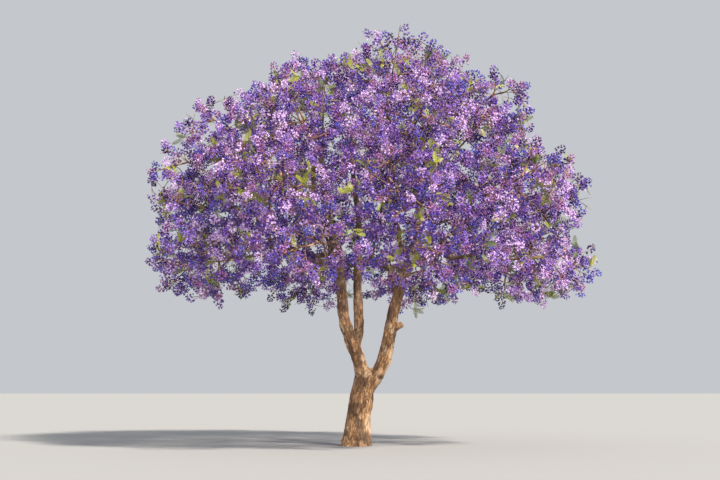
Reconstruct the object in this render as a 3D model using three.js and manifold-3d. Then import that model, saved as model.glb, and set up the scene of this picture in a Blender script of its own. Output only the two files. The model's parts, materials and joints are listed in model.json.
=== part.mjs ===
// A jacaranda in full bloom, as closed solids in millimetres, +Z up.
// The origin is the centre of the flat cut under the trunk, at ground level.
// The trunk forks low into leaders. Boughs leave the leaders and each other, and every limb ends
// where it enters a mass of blossom: twigs that carry sprays, each mass in a space of its own.
import * as THREE from "three";
import { mergeVertices } from "three/addons/utils/BufferGeometryUtils.js";
import Module from "manifold-3d";

const wasm = await Module();
wasm.setup();

// Driving dimensions: millimetres, degrees, and shares of another size
const seed = 7;
const massSeedStep = 101; // between the seeds of two masses
const gap = 0.3; // between two pieces that grow on from each other
const up = new THREE.Vector3(0, 0, 1);

const trunk = {
  height: 1990, // of its own stem, inside the fork
  lean: 265, // how far its top stands to the right of its foot
  straight: 0.4, // the share of its height that its foot holds upright
  bend: { lean: 0.75, height: 0.7 }, // where its upper part turns upright again
  radius: 292,
  footFlare: 118, // what the root flare adds at the ground
  flareHeight: 330,
  rootRidges: 5,
  ridgeDepth: 0.13,
  closingShare: 0.28, // the top share of its height that rounds off inside the fork
  topShare: 0.35, // its radius at the very top, as a share of the radius below
};

const crownAxis = { x: 250, y: 100 };

// Each tier is a ring of masses round the crown's axis. rise is how steeply a bough enters a mass.
const tiers = [
  { name: "top", count: 4, ring: 1650, height: 9160, wide: 1420, tall: 1040, rise: 68, turn: 12 },
  { name: "low", count: 8, ring: 4350, height: 4650, wide: 1500, tall: 1010, rise: -8, turn: 22 },
  { name: "middle", count: 9, ring: 4330, height: 6420, wide: 1500, tall: 1060, rise: 14, turn: 0 },
  { name: "upper", count: 7, ring: 3280, height: 8020, wide: 1450, tall: 1020, rise: 38, turn: 28 },
];
const scatter = { turn: 7, ring: 230, height: 260 }; // how far a mass strays from its place
// How far back from a mass's heart its bough ends, as a share of the way to the edge of its space
const entryShare = 0.8;
const ownMargin = 0.05; // how much nearer to its own heart than to any other a mass's pieces stay

// The three leaders, each up to one of the top masses. A leader's foot is a point in the trunk, or a
// share of another leader. leave and arrive are the curve's handles, from its foot and from its tip.
const leaders = [
  {
    name: "right_leader",
    foot: [240, 0, 1300],
    leave: [910, 90, 1600],
    arrive: [-100, -760, -2700],
    radius: 205,
    mass: "top_1",
  },
  {
    name: "left_leader",
    foot: [195, 0, 1300],
    leave: [-100, -90, 1200],
    arrive: [-45, -300, -3440],
    radius: 200,
    mass: "top_3",
  },
  {
    name: "back_leader",
    parent: "left_leader",
    share: 0.175,
    leave: [440, 220, 850],
    arrive: [-100, -900, -2400],
    radius: 135,
    mass: "top_2",
  },
];
const forkCollar = 1020; // the length of a leader's collar, from its foot in the trunk

// The stub of a sawn-off side branch on the right leader
const stub = {
  leader: "right_leader",
  share: 0.225,
  heading: [0.84, -0.3, 0.62],
  length: 385,
  radius: 80,
};

const bough = {
  tipRadius: 27,
  growth: 0.0125, // how much wider a bough gets for each millimetre back from its tip
  pipePower: 2.3, // how the boughs that a limb carries add up to its own width
  taperPower: 0.85,
  detour: 0.35, // what a millimetre through the tree costs beside a millimetre of new bough
  leastAngle: 30, // between a bough's way and the limb that it leaves
  mostAngle: 100,
  spacing: 520, // between two boughs that leave one limb
  firstFork: 700, // from a limb's foot to the first bough that leaves it
  lastFork: 0.85,
  lowestFork: 2900,
  follow: 0.4, // how much of its parent's way a bough keeps as it leaves
  lift: 0.12,
  footHandle: 0.38, // the handles of its curve, as shares of the way it has to go
  tipHandle: 0.36,
  clearance: 250, // between the centrelines of two limbs
  leaving: 2.2, // how many clearances from its foot a bough may still be near its parent
  clearSteps: 24,
  heartShare: 0.5, // how far into another mass a bough may come
  collar: 40, // how far past its parent's side a bough's collar reaches
  collarFlare: 0.25,
};
// How far a centreline wanders, as a share of its length, and in how many half waves
const sway = { leader: 0.012, bough: 0.035, acrossWaves: 3, overWaves: 4 };
const limbPoints = 32;

// Sides and steps
const faces = { trunk: [18, 9], leader: [9, 9], bough: [6, 6], twig: [3, 2], stub: [8, 1] };
const collarSteps = 2;
const forkSides = 12;

const twig = {
  stemShare: 0.42, // how far past a mass's heart its stem reaches
  stemLift: 0.1,
  stemFoot: 24.3,
  stemTip: 20,
  arms: 5,
  armRadius: 34,
  firstArm: 0.16, // along the stem
  lastArm: 0.92,
  wideArm: 100, // between the first arm and the stem
  closeArm: 45,
  strayTurn: 0.7, // how far an arm strays from its turn round the stem, in radians
  armOverrun: 200, // how far an arm's point reaches into the spray at its end
  shortestArm: 250,
  limbMargin: 40,
};
const spray = {
  length: 760,
  width: 430,
  waist: 0.42,
  perArm: 4,
  along: 0.62, // the share of an arm, back from its end, that carries sprays
  root: 12, // how far a spray's root lies past its arm's axis
  endRoot: 90,
  apart: 330,
  follow: 0.5, // a side spray's direction: along its arm, to the side, and away from the heart
  sideways: 0.9,
  outward: 0.35,
  least: 0.8,
  vary: 0.25,
  turns: 6,
  limbMargin: 25,
};
const nearMass = 1.2; // a limb this deep or deeper in a mass's space is kept clear of its twigs
const goldenAngle = Math.PI * (3 - Math.sqrt(5));
const sameCorner = 1e-3; // two corners closer than this are one

// Seeded random numbers from 0 to 1, so that every build grows the same tree
function makeRandom(start) {
  let state = start >>> 0;
  return () => {
    state = (Math.imul(state, 1664525) + 1013904223) >>> 0;
    return state / 4294967296;
  };
}

// A limb's centreline: a cubic curve that also wanders a little between its ends
class LimbCurve extends THREE.Curve {
  constructor(foot, footHandle, tipHandle, tip, swayShare, phase) {
    super();
    this.cubic = new THREE.CubicBezierCurve3(foot, footHandle, tipHandle, tip);
    const chord = tip.clone().sub(foot);
    this.across = chord.clone().cross(up).normalize();
    this.over = this.across.clone().cross(chord).normalize();
    this.sway = swayShare * chord.length();
    this.phase = phase;
  }

  getPoint(t, target = new THREE.Vector3()) {
    const fade = 4 * t * (1 - t) * this.sway;
    this.cubic.getPoint(t, target);
    target.addScaledVector(this.across, fade * Math.sin(sway.acrossWaves * Math.PI * t + this.phase));
    const overPhase = sway.overWaves * Math.PI * t + 2 * this.phase;
    return target.addScaledVector(this.over, fade * Math.sin(overPhase));
  }
}

// How far a point lies from a mass's heart, where 1 is the edge of its space
function depth(mass, point) {
  return point.clone().sub(mass.heart).divide(mass.half).length();
}

// True if a point is in the mass's own space, and nearer to its heart than to any other's
function inOwnSpace(mass, masses, point) {
  const own = depth(mass, point);
  return own <= 1 && masses.every((other) => other === mass || depth(other, point) > own + ownMargin);
}

// The point where a bough that comes along the heading ends, a little inside the mass's space
function entryPoint({ heart, heading, half }) {
  const reach = 1 / heading.clone().divide(half).length();
  return heart.clone().addScaledVector(heading, -entryShare * reach);
}

// The masses of the crown, tier by tier, each strayed a little from its place in the ring
function placeMasses() {
  const random = makeRandom(seed);
  const stray = (most) => most * (2 * random() - 1);
  const masses = [];
  for (const tier of tiers) {
    const half = new THREE.Vector3(tier.wide, tier.wide, tier.tall);
    const rise = THREE.MathUtils.degToRad(tier.rise);
    for (let k = 0; k < tier.count; k++) {
      const turn = THREE.MathUtils.degToRad(tier.turn + (360 * k) / tier.count + stray(scatter.turn));
      const outward = new THREE.Vector3(Math.cos(turn), Math.sin(turn), 0);
      const ring = tier.ring + stray(scatter.ring);
      const heart = new THREE.Vector3(crownAxis.x, crownAxis.y, tier.height + stray(scatter.height));
      heart.addScaledVector(outward, ring);
      const heading = outward.multiplyScalar(Math.cos(rise)).addScaledVector(up, Math.sin(rise));
      const entry = entryPoint({ heart, heading, half });
      const name = `${tier.name}_${k + 1}`;
      masses.push({ name, index: masses.length, heart, heading, half, entry });
    }
  }
  return masses;
}

// A limb from its curve. before is the way through the tree that leads to its foot.
function makeLimb(name, mass, parent, share, curve) {
  const points = curve.getSpacedPoints(limbPoints);
  const length = curve.getLength();
  const before = parent ? parent.before + share * parent.length : 0;
  const limb = { name, mass, parent, share, curve, points, length, before, children: [] };
  if (parent) parent.children.push(limb);
  return limb;
}

// A leader from its foot to its top mass
function leaderLimb(leader, limbs, masses, random) {
  const mass = masses.find((other) => other.name === leader.mass);
  const parent = limbs.find((limb) => limb.name === leader.parent);
  const foot = parent ? parent.curve.getPointAt(leader.share) : new THREE.Vector3(...leader.foot);
  const footHandle = foot.clone().add(new THREE.Vector3(...leader.leave));
  const tipHandle = mass.entry.clone().add(new THREE.Vector3(...leader.arrive));
  const phase = 2 * Math.PI * random();
  const curve = new LimbCurve(foot, footHandle, tipHandle, mass.entry, sway.leader, phase);
  const limb = makeLimb(leader.name, mass, parent, leader.share, curve);
  limb.footRadius = leader.radius;
  return limb;
}

// The curve of a bough that leaves a limb at a foot and enters a mass along its heading
function boughCurve(mass, { foot, tangent }, phase) {
  const away = mass.entry.clone().sub(foot);
  const distance = away.length();
  const leave = away.normalize().addScaledVector(tangent, bough.follow).addScaledVector(up, bough.lift);
  const footHandle = foot.clone().addScaledVector(leave.normalize(), bough.footHandle * distance);
  const tipHandle = mass.entry.clone().addScaledVector(mass.heading, -bough.tipHandle * distance);
  return new LimbCurve(foot, footHandle, tipHandle, mass.entry, sway.bough, phase);
}

// True if a bough keeps off every limb but the one that it is leaving, and off other masses' hearts
function isClearRun(mass, place, curve, limbs, masses) {
  return curve.getSpacedPoints(bough.clearSteps).every((point) => {
    const isLeaving = point.distanceTo(place.foot) < bough.leaving * bough.clearance;
    const isFree = limbs.every((limb) => {
      if (isLeaving && limb === place.limb) return true;
      return limb.points.every((other) => other.distanceTo(point) > bough.clearance);
    });
    return isFree && masses.every((other) => other === mass || depth(other, point) > bough.heartShare);
  });
}

// The places on the limbs where a bough for this mass could leave, the least costly first
function placesToLeave(mass, limbs) {
  const places = [];
  for (const limb of limbs) {
    limb.points.forEach((foot, k) => {
      const share = k / limbPoints;
      const tangent = limb.curve.getTangentAt(share);
      const away = mass.entry.clone().sub(foot);
      const angle = THREE.MathUtils.radToDeg(away.angleTo(tangent));
      const isEarly = share * limb.length < bough.firstFork || foot.z < bough.lowestFork;
      const isBeside = (child) => Math.abs(child.share - share) * limb.length < bough.spacing;
      const isCrowded = limb.children.some(isBeside);
      const isAskew = angle < bough.leastAngle || angle > bough.mostAngle;
      if (isEarly || share > bough.lastFork || isCrowded || isAskew) return;
      const cost = away.length() + bough.detour * (limb.before + share * limb.length);
      places.push({ limb, share, foot, tangent, cost });
    });
  }
  return places.sort((a, b) => a.cost - b.cost);
}

// Grows the boughs, the nearest mass first, each from the cheapest place that leaves its run clear
function growLimbs(masses) {
  const random = makeRandom(seed + 1);
  const limbs = [];
  for (const leader of leaders) limbs.push(leaderLimb(leader, limbs, masses, random));
  const fork = new THREE.Vector3(trunk.lean, 0, trunk.height);
  const waiting = masses.filter((mass) => !limbs.some((limb) => limb.mass === mass));
  waiting.sort((a, b) => a.entry.distanceTo(fork) - b.entry.distanceTo(fork));
  for (const mass of waiting) {
    const phase = 2 * Math.PI * random();
    const isClear = (place) => isClearRun(mass, place, boughCurve(mass, place, phase), limbs, masses);
    const place = placesToLeave(mass, limbs).find(isClear);
    if (!place) throw new Error(`no clear way to ${mass.name}`);
    const curve = boughCurve(mass, place, phase);
    limbs.push(makeLimb(`bough_${mass.name}`, mass, place.limb, place.share, curve));
  }
  return limbs;
}

// Gives a limb the width at its foot that its own length and the boughs on it ask for
function widen(limb) {
  const own = bough.tipRadius + bough.growth * limb.length;
  const powers = limb.children.map((child) => widen(child) ** bough.pipePower);
  const sum = powers.reduce((total, power) => total + power, own ** bough.pipePower);
  limb.footRadius ??= sum ** (1 / bough.pipePower);
  return limb.footRadius;
}

function radiusAt(limb, share) {
  return bough.tipRadius + (limb.footRadius - bough.tipRadius) * (1 - share) ** bough.taperPower;
}

// The share of a limb's length where it has come clear of what carries it, and its own node starts
function collarShare(limb) {
  if (!limb.parent) return forkCollar / limb.length;
  const apart = radiusAt(limb.parent, limb.share) + limb.footRadius + bough.collar;
  const searchSteps = 128;
  const path = limb.parent.curve.getSpacedPoints(searchSteps);
  const isOut = (point) => path.every((other) => other.distanceTo(point) > apart);
  return limb.curve.getSpacedPoints(searchSteps).findIndex(isOut) / searchSteps;
}

// A geometry as a manifold solid: only its positions, with shared corners merged
function solidOf(geometry) {
  geometry.deleteAttribute("normal");
  geometry.deleteAttribute("uv");
  const merged = mergeVertices(geometry, sameCorner);
  const vertProperties = merged.getAttribute("position").array;
  const triVerts = new Uint32Array(merged.index.array);
  return new wasm.Manifold(new wasm.Mesh({ numProp: 3, vertProperties, triVerts }));
}

function geometryOf(solid) {
  const { numProp, vertProperties, triVerts } = solid.getMesh();
  const geometry = new THREE.BufferGeometry();
  geometry.setAttribute("position", new THREE.BufferAttribute(vertProperties, numProp));
  geometry.setIndex(new THREE.BufferAttribute(triVerts, 1));
  geometry.computeVertexNormals();
  return geometry;
}

// A cylinder bent along a stretch of a curve. radius(share, angle) is its radius there, and
// its first face stands off by startGap.
function bentCylinder(curve, [from, to], radius, [sides, steps], startGap = 0) {
  const geometry = new THREE.CylinderGeometry(1, 1, 1, sides, steps);
  const frameCount = 64;
  const frames = curve.computeFrenetFrames(frameCount, false);
  const position = geometry.getAttribute("position");
  for (let i = 0; i < position.count; i++) {
    const step = Math.round((position.getY(i) + 0.5) * steps);
    const share = from + ((to - from) * step) / steps;
    const tangent = curve.getTangentAt(share);
    const side = frames.normals[Math.round(share * frameCount)].clone();
    side.addScaledVector(tangent, -side.dot(tangent)).normalize();
    const other = tangent.clone().cross(side);
    const angle = Math.atan2(position.getZ(i), position.getX(i));
    const size = Math.hypot(position.getX(i), position.getZ(i)) * radius(share, angle);
    const point = curve.getPointAt(share).addScaledVector(tangent, step === 0 ? startGap : 0);
    point.addScaledVector(other, size * Math.cos(angle)).addScaledVector(side, size * Math.sin(angle));
    position.setXYZ(i, point.x, point.y, point.z);
  }
  return geometry;
}

// The first stretch of a limb, from the centreline of what carries it until it is clear of that
function collarSolid(limb, sides) {
  const flare = (share) => 1 + bough.collarFlare * Math.exp((-share * limb.length) / limb.footRadius);
  const radius = (share) => radiusAt(limb, share) * flare(share);
  return solidOf(bentCylinder(limb.curve, [0, collarShare(limb)], radius, [sides, collarSteps]));
}

function stubSolid(limb) {
  const foot = limb.curve.getPointAt(stub.share);
  const tip = foot.clone().addScaledVector(new THREE.Vector3(...stub.heading).normalize(), stub.length);
  return solidOf(bentCylinder(new THREE.LineCurve3(foot, tip), [0, 1], () => stub.radius, faces.stub));
}

// A limb from its collar's end to its tip, with the collars of the boughs that it carries
function limbSolid(limb) {
  const shape = leaders.some((leader) => leader.name === limb.name) ? faces.leader : faces.bough;
  const radius = (share) => radiusAt(limb, share);
  const own = solidOf(bentCylinder(limb.curve, [collarShare(limb), 1], radius, shape, gap));
  const branches = limb.children.map((child) => collarSolid(child, faces.bough[0]));
  if (limb.name === stub.leader) branches.push(stubSolid(limb));
  return branches.reduce((solid, branch) => solid.add(branch), own);
}

// The trunk leans, tapers from its root flare, rounds off inside the fork and holds the leaders' collars
function trunkSolid(limbs) {
  const { height, lean } = trunk;
  const stem = new THREE.CubicBezierCurve3(
    new THREE.Vector3(0, 0, 0),
    new THREE.Vector3(0, 0, trunk.straight * height),
    new THREE.Vector3(trunk.bend.lean * lean, 0, trunk.bend.height * height),
    new THREE.Vector3(lean, 0, height),
  );
  const radius = (share, angle) => {
    const flare = Math.exp((-share * height) / trunk.flareHeight);
    const ridges = 1 + trunk.ridgeDepth * flare * Math.cos(trunk.rootRidges * angle);
    const closing = Math.max(0, (share - 1) / trunk.closingShare + 1);
    const rounded = Math.sqrt(Math.max(trunk.topShare ** 2, 1 - closing ** 2));
    return (trunk.radius + trunk.footFlare * flare) * ridges * rounded;
  };
  const collars = limbs.filter((limb) => !limb.parent).map((limb) => collarSolid(limb, forkSides));
  const own = solidOf(bentCylinder(stem, [0, 1], radius, faces.trunk));
  return collars.reduce((solid, collar) => solid.add(collar), own);
}

// True if a point keeps off every limb by a margin
function clearOfLimbs(limbs, point, margin) {
  const isClear = (limb, other, k) => other.distanceTo(point) > radiusAt(limb, k / limbPoints) + margin;
  return limbs.every((limb) => limb.points.every((other, k) => isClear(limb, other, k)));
}

// True if every corner of a geometry is in the mass's own space and keeps off the limbs
function fits(geometry, mass, masses, limbs, margin) {
  const position = geometry.getAttribute("position");
  for (let i = 0; i < position.count; i++) {
    const point = new THREE.Vector3().fromBufferAttribute(position, i);
    if (!inOwnSpace(mass, masses, point) || !clearOfLimbs(limbs, point, margin)) return false;
  }
  return true;
}

// The distance along a heading from a point to a share of the way to the edge of a mass's space
function reachWithin(mass, from, heading, share) {
  const a = heading.clone().divide(mass.half);
  const b = from.clone().sub(mass.heart).divide(mass.half);
  const along = a.dot(b);
  return (-along + Math.sqrt(along ** 2 - a.lengthSq() * (b.lengthSq() - share ** 2))) / a.lengthSq();
}

// How far a heading runs from a point before it leaves the mass's own space
function ownReach(mass, masses, from, heading) {
  const step = 30;
  const point = from.clone();
  while (inOwnSpace(mass, masses, point)) point.addScaledVector(heading, step);
  return point.distanceTo(from) - step;
}

// The stem of a mass, which grows on from its bough and lifts a little
function growStem(mass, limb) {
  const start = limb.curve.getPointAt(1);
  const heading = limb.curve.getTangentAt(1);
  const length = reachWithin(mass, start, heading, twig.stemShare);
  const bow = start.clone().addScaledVector(heading, 0.5 * length);
  const tip = start.clone().addScaledVector(heading, length).addScaledVector(up, twig.stemLift * length);
  return new THREE.QuadraticBezierCurve3(start, bow, tip);
}

// The arms of a mass leave its stem all round, the first ones wide and the last ones close to it
function growArms(mass, masses, stem, random) {
  const heading = stem.getTangentAt(0);
  const first = up.clone().cross(heading).normalize();
  const second = heading.clone().cross(first);
  const arms = [];
  for (let k = 0; k < twig.arms; k++) {
    const share = k / (twig.arms - 1);
    const foot = stem.getPointAt(THREE.MathUtils.lerp(twig.firstArm, twig.lastArm, share));
    const spread = THREE.MathUtils.degToRad(THREE.MathUtils.lerp(twig.wideArm, twig.closeArm, share));
    const turn = k * goldenAngle + twig.strayTurn * random();
    const sideways = first.clone().multiplyScalar(Math.cos(turn)).addScaledVector(second, Math.sin(turn));
    const away = sideways.multiplyScalar(Math.sin(spread)).addScaledVector(heading, Math.cos(spread));
    const reach = ownReach(mass, masses, foot, away) - spray.length + spray.endRoot;
    if (reach > twig.shortestArm) arms.push({ foot, heading: away, reach });
  }
  return arms;
}

// A shape that stands along +Y, turned to a direction and moved to a point
function aim(geometry, point, direction) {
  const turn = new THREE.Quaternion().setFromUnitVectors(new THREE.Vector3(0, 1, 0), direction);
  geometry.applyQuaternion(turn);
  return geometry.translate(point.x, point.y, point.z);
}

// A straight three-sided arm whose point ends inside the spray at its end
function armGeometry({ foot, heading, reach }) {
  const length = reach + twig.armOverrun;
  const cone = new THREE.ConeGeometry(twig.armRadius, length, faces.twig[0]);
  return aim(cone.translate(0, length / 2, 0), foot, heading);
}

// A spray of blossom: an eight-faced drop with its root at a point and its tip along a direction
function sprayGeometry(root, direction, size) {
  const geometry = new THREE.OctahedronGeometry(1, 0);
  const position = geometry.getAttribute("position");
  for (let i = 0; i < position.count; i++) {
    const y = position.getY(i);
    position.setY(i, Math.abs(y) < 0.5 ? spray.waist : (y + 1) / 2);
  }
  geometry.scale((size * spray.width) / 2, size * spray.length, (size * spray.width) / 2);
  return aim(geometry, root, direction);
}

// The spray at an arm's end, in line with the arm
function endSpray(arm) {
  const root = arm.foot.clone().addScaledVector(arm.heading, arm.reach - spray.endRoot);
  return { root, direction: arm.heading, size: 1 };
}

// A spray to one side of an arm, leaning outwards, at a turn round the arm
function sideSpray(arm, mass, along, turn, size) {
  const point = arm.foot.clone().addScaledVector(arm.heading, along);
  const side = up.clone().cross(arm.heading).normalize().applyAxisAngle(arm.heading, turn);
  const outward = point.clone().sub(mass.heart).normalize();
  const direction = arm.heading.clone().multiplyScalar(spray.follow);
  direction.addScaledVector(side, spray.sideways).addScaledVector(outward, spray.outward).normalize();
  return { root: point.addScaledVector(direction, -spray.root), direction, size };
}

// The sprays of an arm: one at its end, and others each turned round it until they come clear
function growSprays(arm, mass, masses, limbs, taken, random) {
  const geometries = [];
  const place = ({ root, direction, size }) => {
    const middle = root.clone().addScaledVector(direction, spray.waist * size * spray.length);
    if (taken.some((other) => other.distanceTo(middle) < spray.apart)) return false;
    const geometry = sprayGeometry(root, direction, size);
    if (!fits(geometry, mass, masses, limbs, spray.limbMargin)) return false;
    taken.push(middle);
    geometries.push(geometry);
    return true;
  };
  place(endSpray(arm));
  for (let j = 1; j < spray.perArm; j++) {
    const along = arm.reach * (1 - (spray.along * j) / (spray.perArm - 1));
    const size = spray.least + spray.vary * random();
    const firstTurn = 2 * Math.PI * random();
    for (let k = 0; k < spray.turns; k++) {
      if (place(sideSpray(arm, mass, along, firstTurn + k * goldenAngle, size))) break;
    }
  }
  return geometries;
}

// A mass of blossom as one solid: its stem, its arms, and the sprays fused to them
function massSolid(limb, limbs, masses) {
  const { mass } = limb;
  const random = makeRandom(seed + massSeedStep * (mass.index + 1));
  const near = limbs.filter((other) => other.points.some((point) => depth(mass, point) < nearMass));
  const others = near.filter((other) => other !== limb);
  const stem = growStem(mass, limb);
  const stemRadius = (share) => THREE.MathUtils.lerp(twig.stemFoot, twig.stemTip, share);
  const stemGeometry = bentCylinder(stem, [0, 1], stemRadius, faces.twig, gap);
  const stemEnd = stem.getTangentAt(1);
  const leading = sprayGeometry(stem.getPointAt(1).addScaledVector(stemEnd, -spray.endRoot), stemEnd, 1);
  const pieces = [leading];
  const taken = [];
  for (const arm of growArms(mass, masses, stem, random)) {
    const geometry = armGeometry(arm);
    if (!fits(geometry, mass, masses, others, twig.limbMargin)) continue;
    pieces.push(geometry, ...growSprays(arm, mass, masses, near, taken, random));
  }
  return pieces.reduce((solid, piece) => solid.add(solidOf(piece)), solidOf(stemGeometry));
}

const finishes = {
  bark: { color: 0x94714f, roughness: 0.9, metalness: 0 },
  blossom: { color: 0x7f63cc, roughness: 0.65, metalness: 0 },
};

function namedMesh(name, solid, finish) {
  const material = new THREE.MeshStandardMaterial({ ...finishes[finish], flatShading: true });
  const mesh = new THREE.Mesh(geometryOf(solid), material);
  mesh.name = name;
  return mesh;
}

function buildTree() {
  const tree = new THREE.Group();
  const masses = placeMasses();
  const limbs = growLimbs(masses);
  limbs.filter((limb) => !limb.parent).forEach(widen);
  tree.add(namedMesh("trunk", trunkSolid(limbs), "bark"));
  for (const limb of limbs) tree.add(namedMesh(limb.name, limbSolid(limb), "bark"));
  for (const limb of limbs) {
    tree.add(namedMesh(`blossom_${limb.mass.name}`, massSolid(limb, limbs, masses), "blossom"));
  }
  return tree;
}

const tree = buildTree();
export default tree;
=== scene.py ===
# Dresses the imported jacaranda: bark over its limbs, and twigs, leaves and blossom for its masses
# Metres, +Z up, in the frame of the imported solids
import json
import math

import bmesh
import bpy
import numpy as np
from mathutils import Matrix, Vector
from numpy.linalg import norm

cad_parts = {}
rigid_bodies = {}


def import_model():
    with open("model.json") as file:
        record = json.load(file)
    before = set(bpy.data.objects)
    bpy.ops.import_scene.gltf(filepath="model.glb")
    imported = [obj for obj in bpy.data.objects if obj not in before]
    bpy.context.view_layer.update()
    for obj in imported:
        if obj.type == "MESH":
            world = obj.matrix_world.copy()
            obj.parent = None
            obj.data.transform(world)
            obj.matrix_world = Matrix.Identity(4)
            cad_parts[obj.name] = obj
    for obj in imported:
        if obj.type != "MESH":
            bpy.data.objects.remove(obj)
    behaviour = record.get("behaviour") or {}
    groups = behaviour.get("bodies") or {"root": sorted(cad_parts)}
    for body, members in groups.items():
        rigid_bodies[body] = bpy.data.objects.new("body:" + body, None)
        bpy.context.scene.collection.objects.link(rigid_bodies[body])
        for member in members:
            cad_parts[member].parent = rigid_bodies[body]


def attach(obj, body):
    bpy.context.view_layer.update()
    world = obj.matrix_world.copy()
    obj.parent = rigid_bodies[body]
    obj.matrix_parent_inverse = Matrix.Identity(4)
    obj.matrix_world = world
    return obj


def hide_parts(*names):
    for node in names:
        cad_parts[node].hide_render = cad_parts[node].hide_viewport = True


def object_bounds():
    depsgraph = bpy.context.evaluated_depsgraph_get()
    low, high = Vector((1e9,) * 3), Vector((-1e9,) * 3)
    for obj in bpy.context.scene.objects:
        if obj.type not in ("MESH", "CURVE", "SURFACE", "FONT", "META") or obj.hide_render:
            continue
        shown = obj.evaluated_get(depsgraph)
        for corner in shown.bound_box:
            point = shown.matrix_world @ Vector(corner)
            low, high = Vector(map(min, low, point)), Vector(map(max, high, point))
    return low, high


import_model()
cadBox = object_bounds()
lowCorner, highCorner = (np.array(corner) for corner in cadBox)
up = np.array((0.0, 0.0, 1.0))
fullTurn = 2 * math.pi
goldenAngle = math.pi * (3 - math.sqrt(5))
chance = np.random.default_rng(7)

# The plan of the limbs and masses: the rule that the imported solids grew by, in metres

tree = {
    "seed": 7,
    "massSeedStep": 101,
    "crownAxis": (0.25, 0.1),
    "strayTurn": 7,  # degrees
    "strayRing": 0.23,
    "strayHeight": 0.26,
    "entryShare": 0.8,  # where a limb ends, as a share of the way from the mass's heart to its edge
    "ownMargin": 0.05,
    "limbPoints": 32,
    "curveSteps": 200,
}

trunk = {
    "height": 1.99,
    "lean": 0.265,
    "straight": 0.4,  # the share of its height that starts straight up
    "bendLean": 0.75,
    "bendHeight": 0.7,
    "radius": 0.292,
    "footFlare": 0.118,
    "flareHeight": 0.33,
    "rootRidges": 5,
    "ridgeDepth": 0.13,
    "closingShare": 0.28,  # the share of its height where its top rounds off, and how wide it still is there
    "topShare": 0.35,
}

tiers = {
    "top": {"count": 4, "ring": 1.65, "height": 9.16, "wide": 1.42, "tall": 1.04, "rise": 68, "turn": 12},
    "low": {"count": 8, "ring": 4.35, "height": 4.65, "wide": 1.5, "tall": 1.01, "rise": -8, "turn": 22},
    "middle": {"count": 9, "ring": 4.33, "height": 6.42, "wide": 1.5, "tall": 1.06, "rise": 14, "turn": 0},
    "upper": {"count": 7, "ring": 3.28, "height": 8.02, "wide": 1.45, "tall": 1.02, "rise": 38, "turn": 28},
}

leaders = [
    {
        "name": "right_leader",
        "foot": (0.24, 0, 1.3),
        "leave": (0.91, 0.09, 1.6),
        "arrive": (-0.1, -0.76, -2.7),
        "radius": 0.205,
        "mass": "top_1",
    },
    {
        "name": "left_leader",
        "foot": (0.195, 0, 1.3),
        "leave": (-0.1, -0.09, 1.2),
        "arrive": (-0.045, -0.3, -3.44),
        "radius": 0.2,
        "mass": "top_3",
    },
    {
        "name": "back_leader",
        "parent": "left_leader",
        "share": 0.175,
        "leave": (0.44, 0.22, 0.85),
        "arrive": (-0.1, -0.9, -2.4),
        "radius": 0.135,
        "mass": "top_2",
    },
]

stub = {
    "leader": "right_leader",
    "share": 0.225,
    "heading": (0.84, -0.3, 0.62),
    "length": 0.385,
    "radius": 0.08,
}

bough = {
    "tipRadius": 0.027,
    "growth": 0.0125,
    "pipePower": 2.3,  # a lower power makes the carrying limbs thicker
    "taperPower": 0.85,
    "detour": 0.35,  # how much the way through the tree counts beside the way to the mass
    "leastAngle": 30,
    "mostAngle": 100,
    "spacing": 0.52,
    "firstFork": 0.7,
    "lastFork": 0.85,
    "lowestFork": 2.9,
    "follow": 0.4,
    "lift": 0.12,
    "footHandle": 0.38,
    "tipHandle": 0.36,
    "clearance": 0.25,
    "leaving": 2.2,
    "clearSteps": 24,
    "heartShare": 0.5,
    "collarFlare": 0.25,
}
sway = {"leader": 0.012, "bough": 0.035, "acrossWaves": 3, "overWaves": 4}

twig = {
    "stemShare": 0.42,
    "stemLift": 0.1,
    "stemBend": 0.5,
    "arms": 5,
    "armRadius": 0.034,
    "firstArm": 0.16,
    "lastArm": 0.92,
    "wideArm": 100,
    "closeArm": 45,
    "strayTurn": 0.7,
    "armOverrun": 0.2,
    "shortestArm": 0.25,
    "limbMargin": 0.04,
    "reachStep": 0.03,
    "reachSteps": 200,
    "nearMass": 1.2,
}

spray = {
    "length": 0.76,
    "width": 0.43,
    "waist": 0.42,
    "perArm": 4,
    "along": 0.62,
    "root": 0.012,
    "endRoot": 0.09,
    "apart": 0.33,
    "follow": 0.5,
    "sideways": 0.9,
    "outward": 0.35,
    "least": 0.8,
    "vary": 0.25,
    "turns": 6,
    "limbMargin": 0.025,
}


def unit(vectors):
    # each vector over its own length
    return vectors / norm(vectors, axis=-1, keepdims=True)


def named(name, things):
    return next((thing for thing in things if thing["name"] == name), None)


def evenTurns(sides):
    # angles that share out a full turn evenly
    return np.arange(sides) * fullTurn / sides


def circled(turns, first, second):
    # the directions at those turns from the first towards the second
    return np.cos(turns)[..., None] * first + np.sin(turns)[..., None] * second


def distances(points, others):
    # from each point to each of the others
    return norm(points[:, None] - others[None], axis=-1)


def makeRandom(start):
    # each state is the last one times a large step, plus an odd one, modulo two to the 32nd
    state = start

    def draw():
        nonlocal state
        state = (state * 1664525 + 1013904223) % 2**32
        return state / 2**32

    return draw


def eachOn(handles, t):
    # a stack of Bezier curves with one t for each: between neighbouring handles the point at t, between
    # those points again, and so on until one is left; powers of t would differ in their last digits each run
    while handles.shape[-2] > 1:
        handles = handles[..., :-1, :] + t[:, None, None] * np.diff(handles, axis=-2)
    return handles[..., 0, :]


def bezier(handles, t):
    # the same at every t; handles may be one curve's or a whole stack of them
    return eachOn(handles[..., None, :, :], t)


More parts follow.
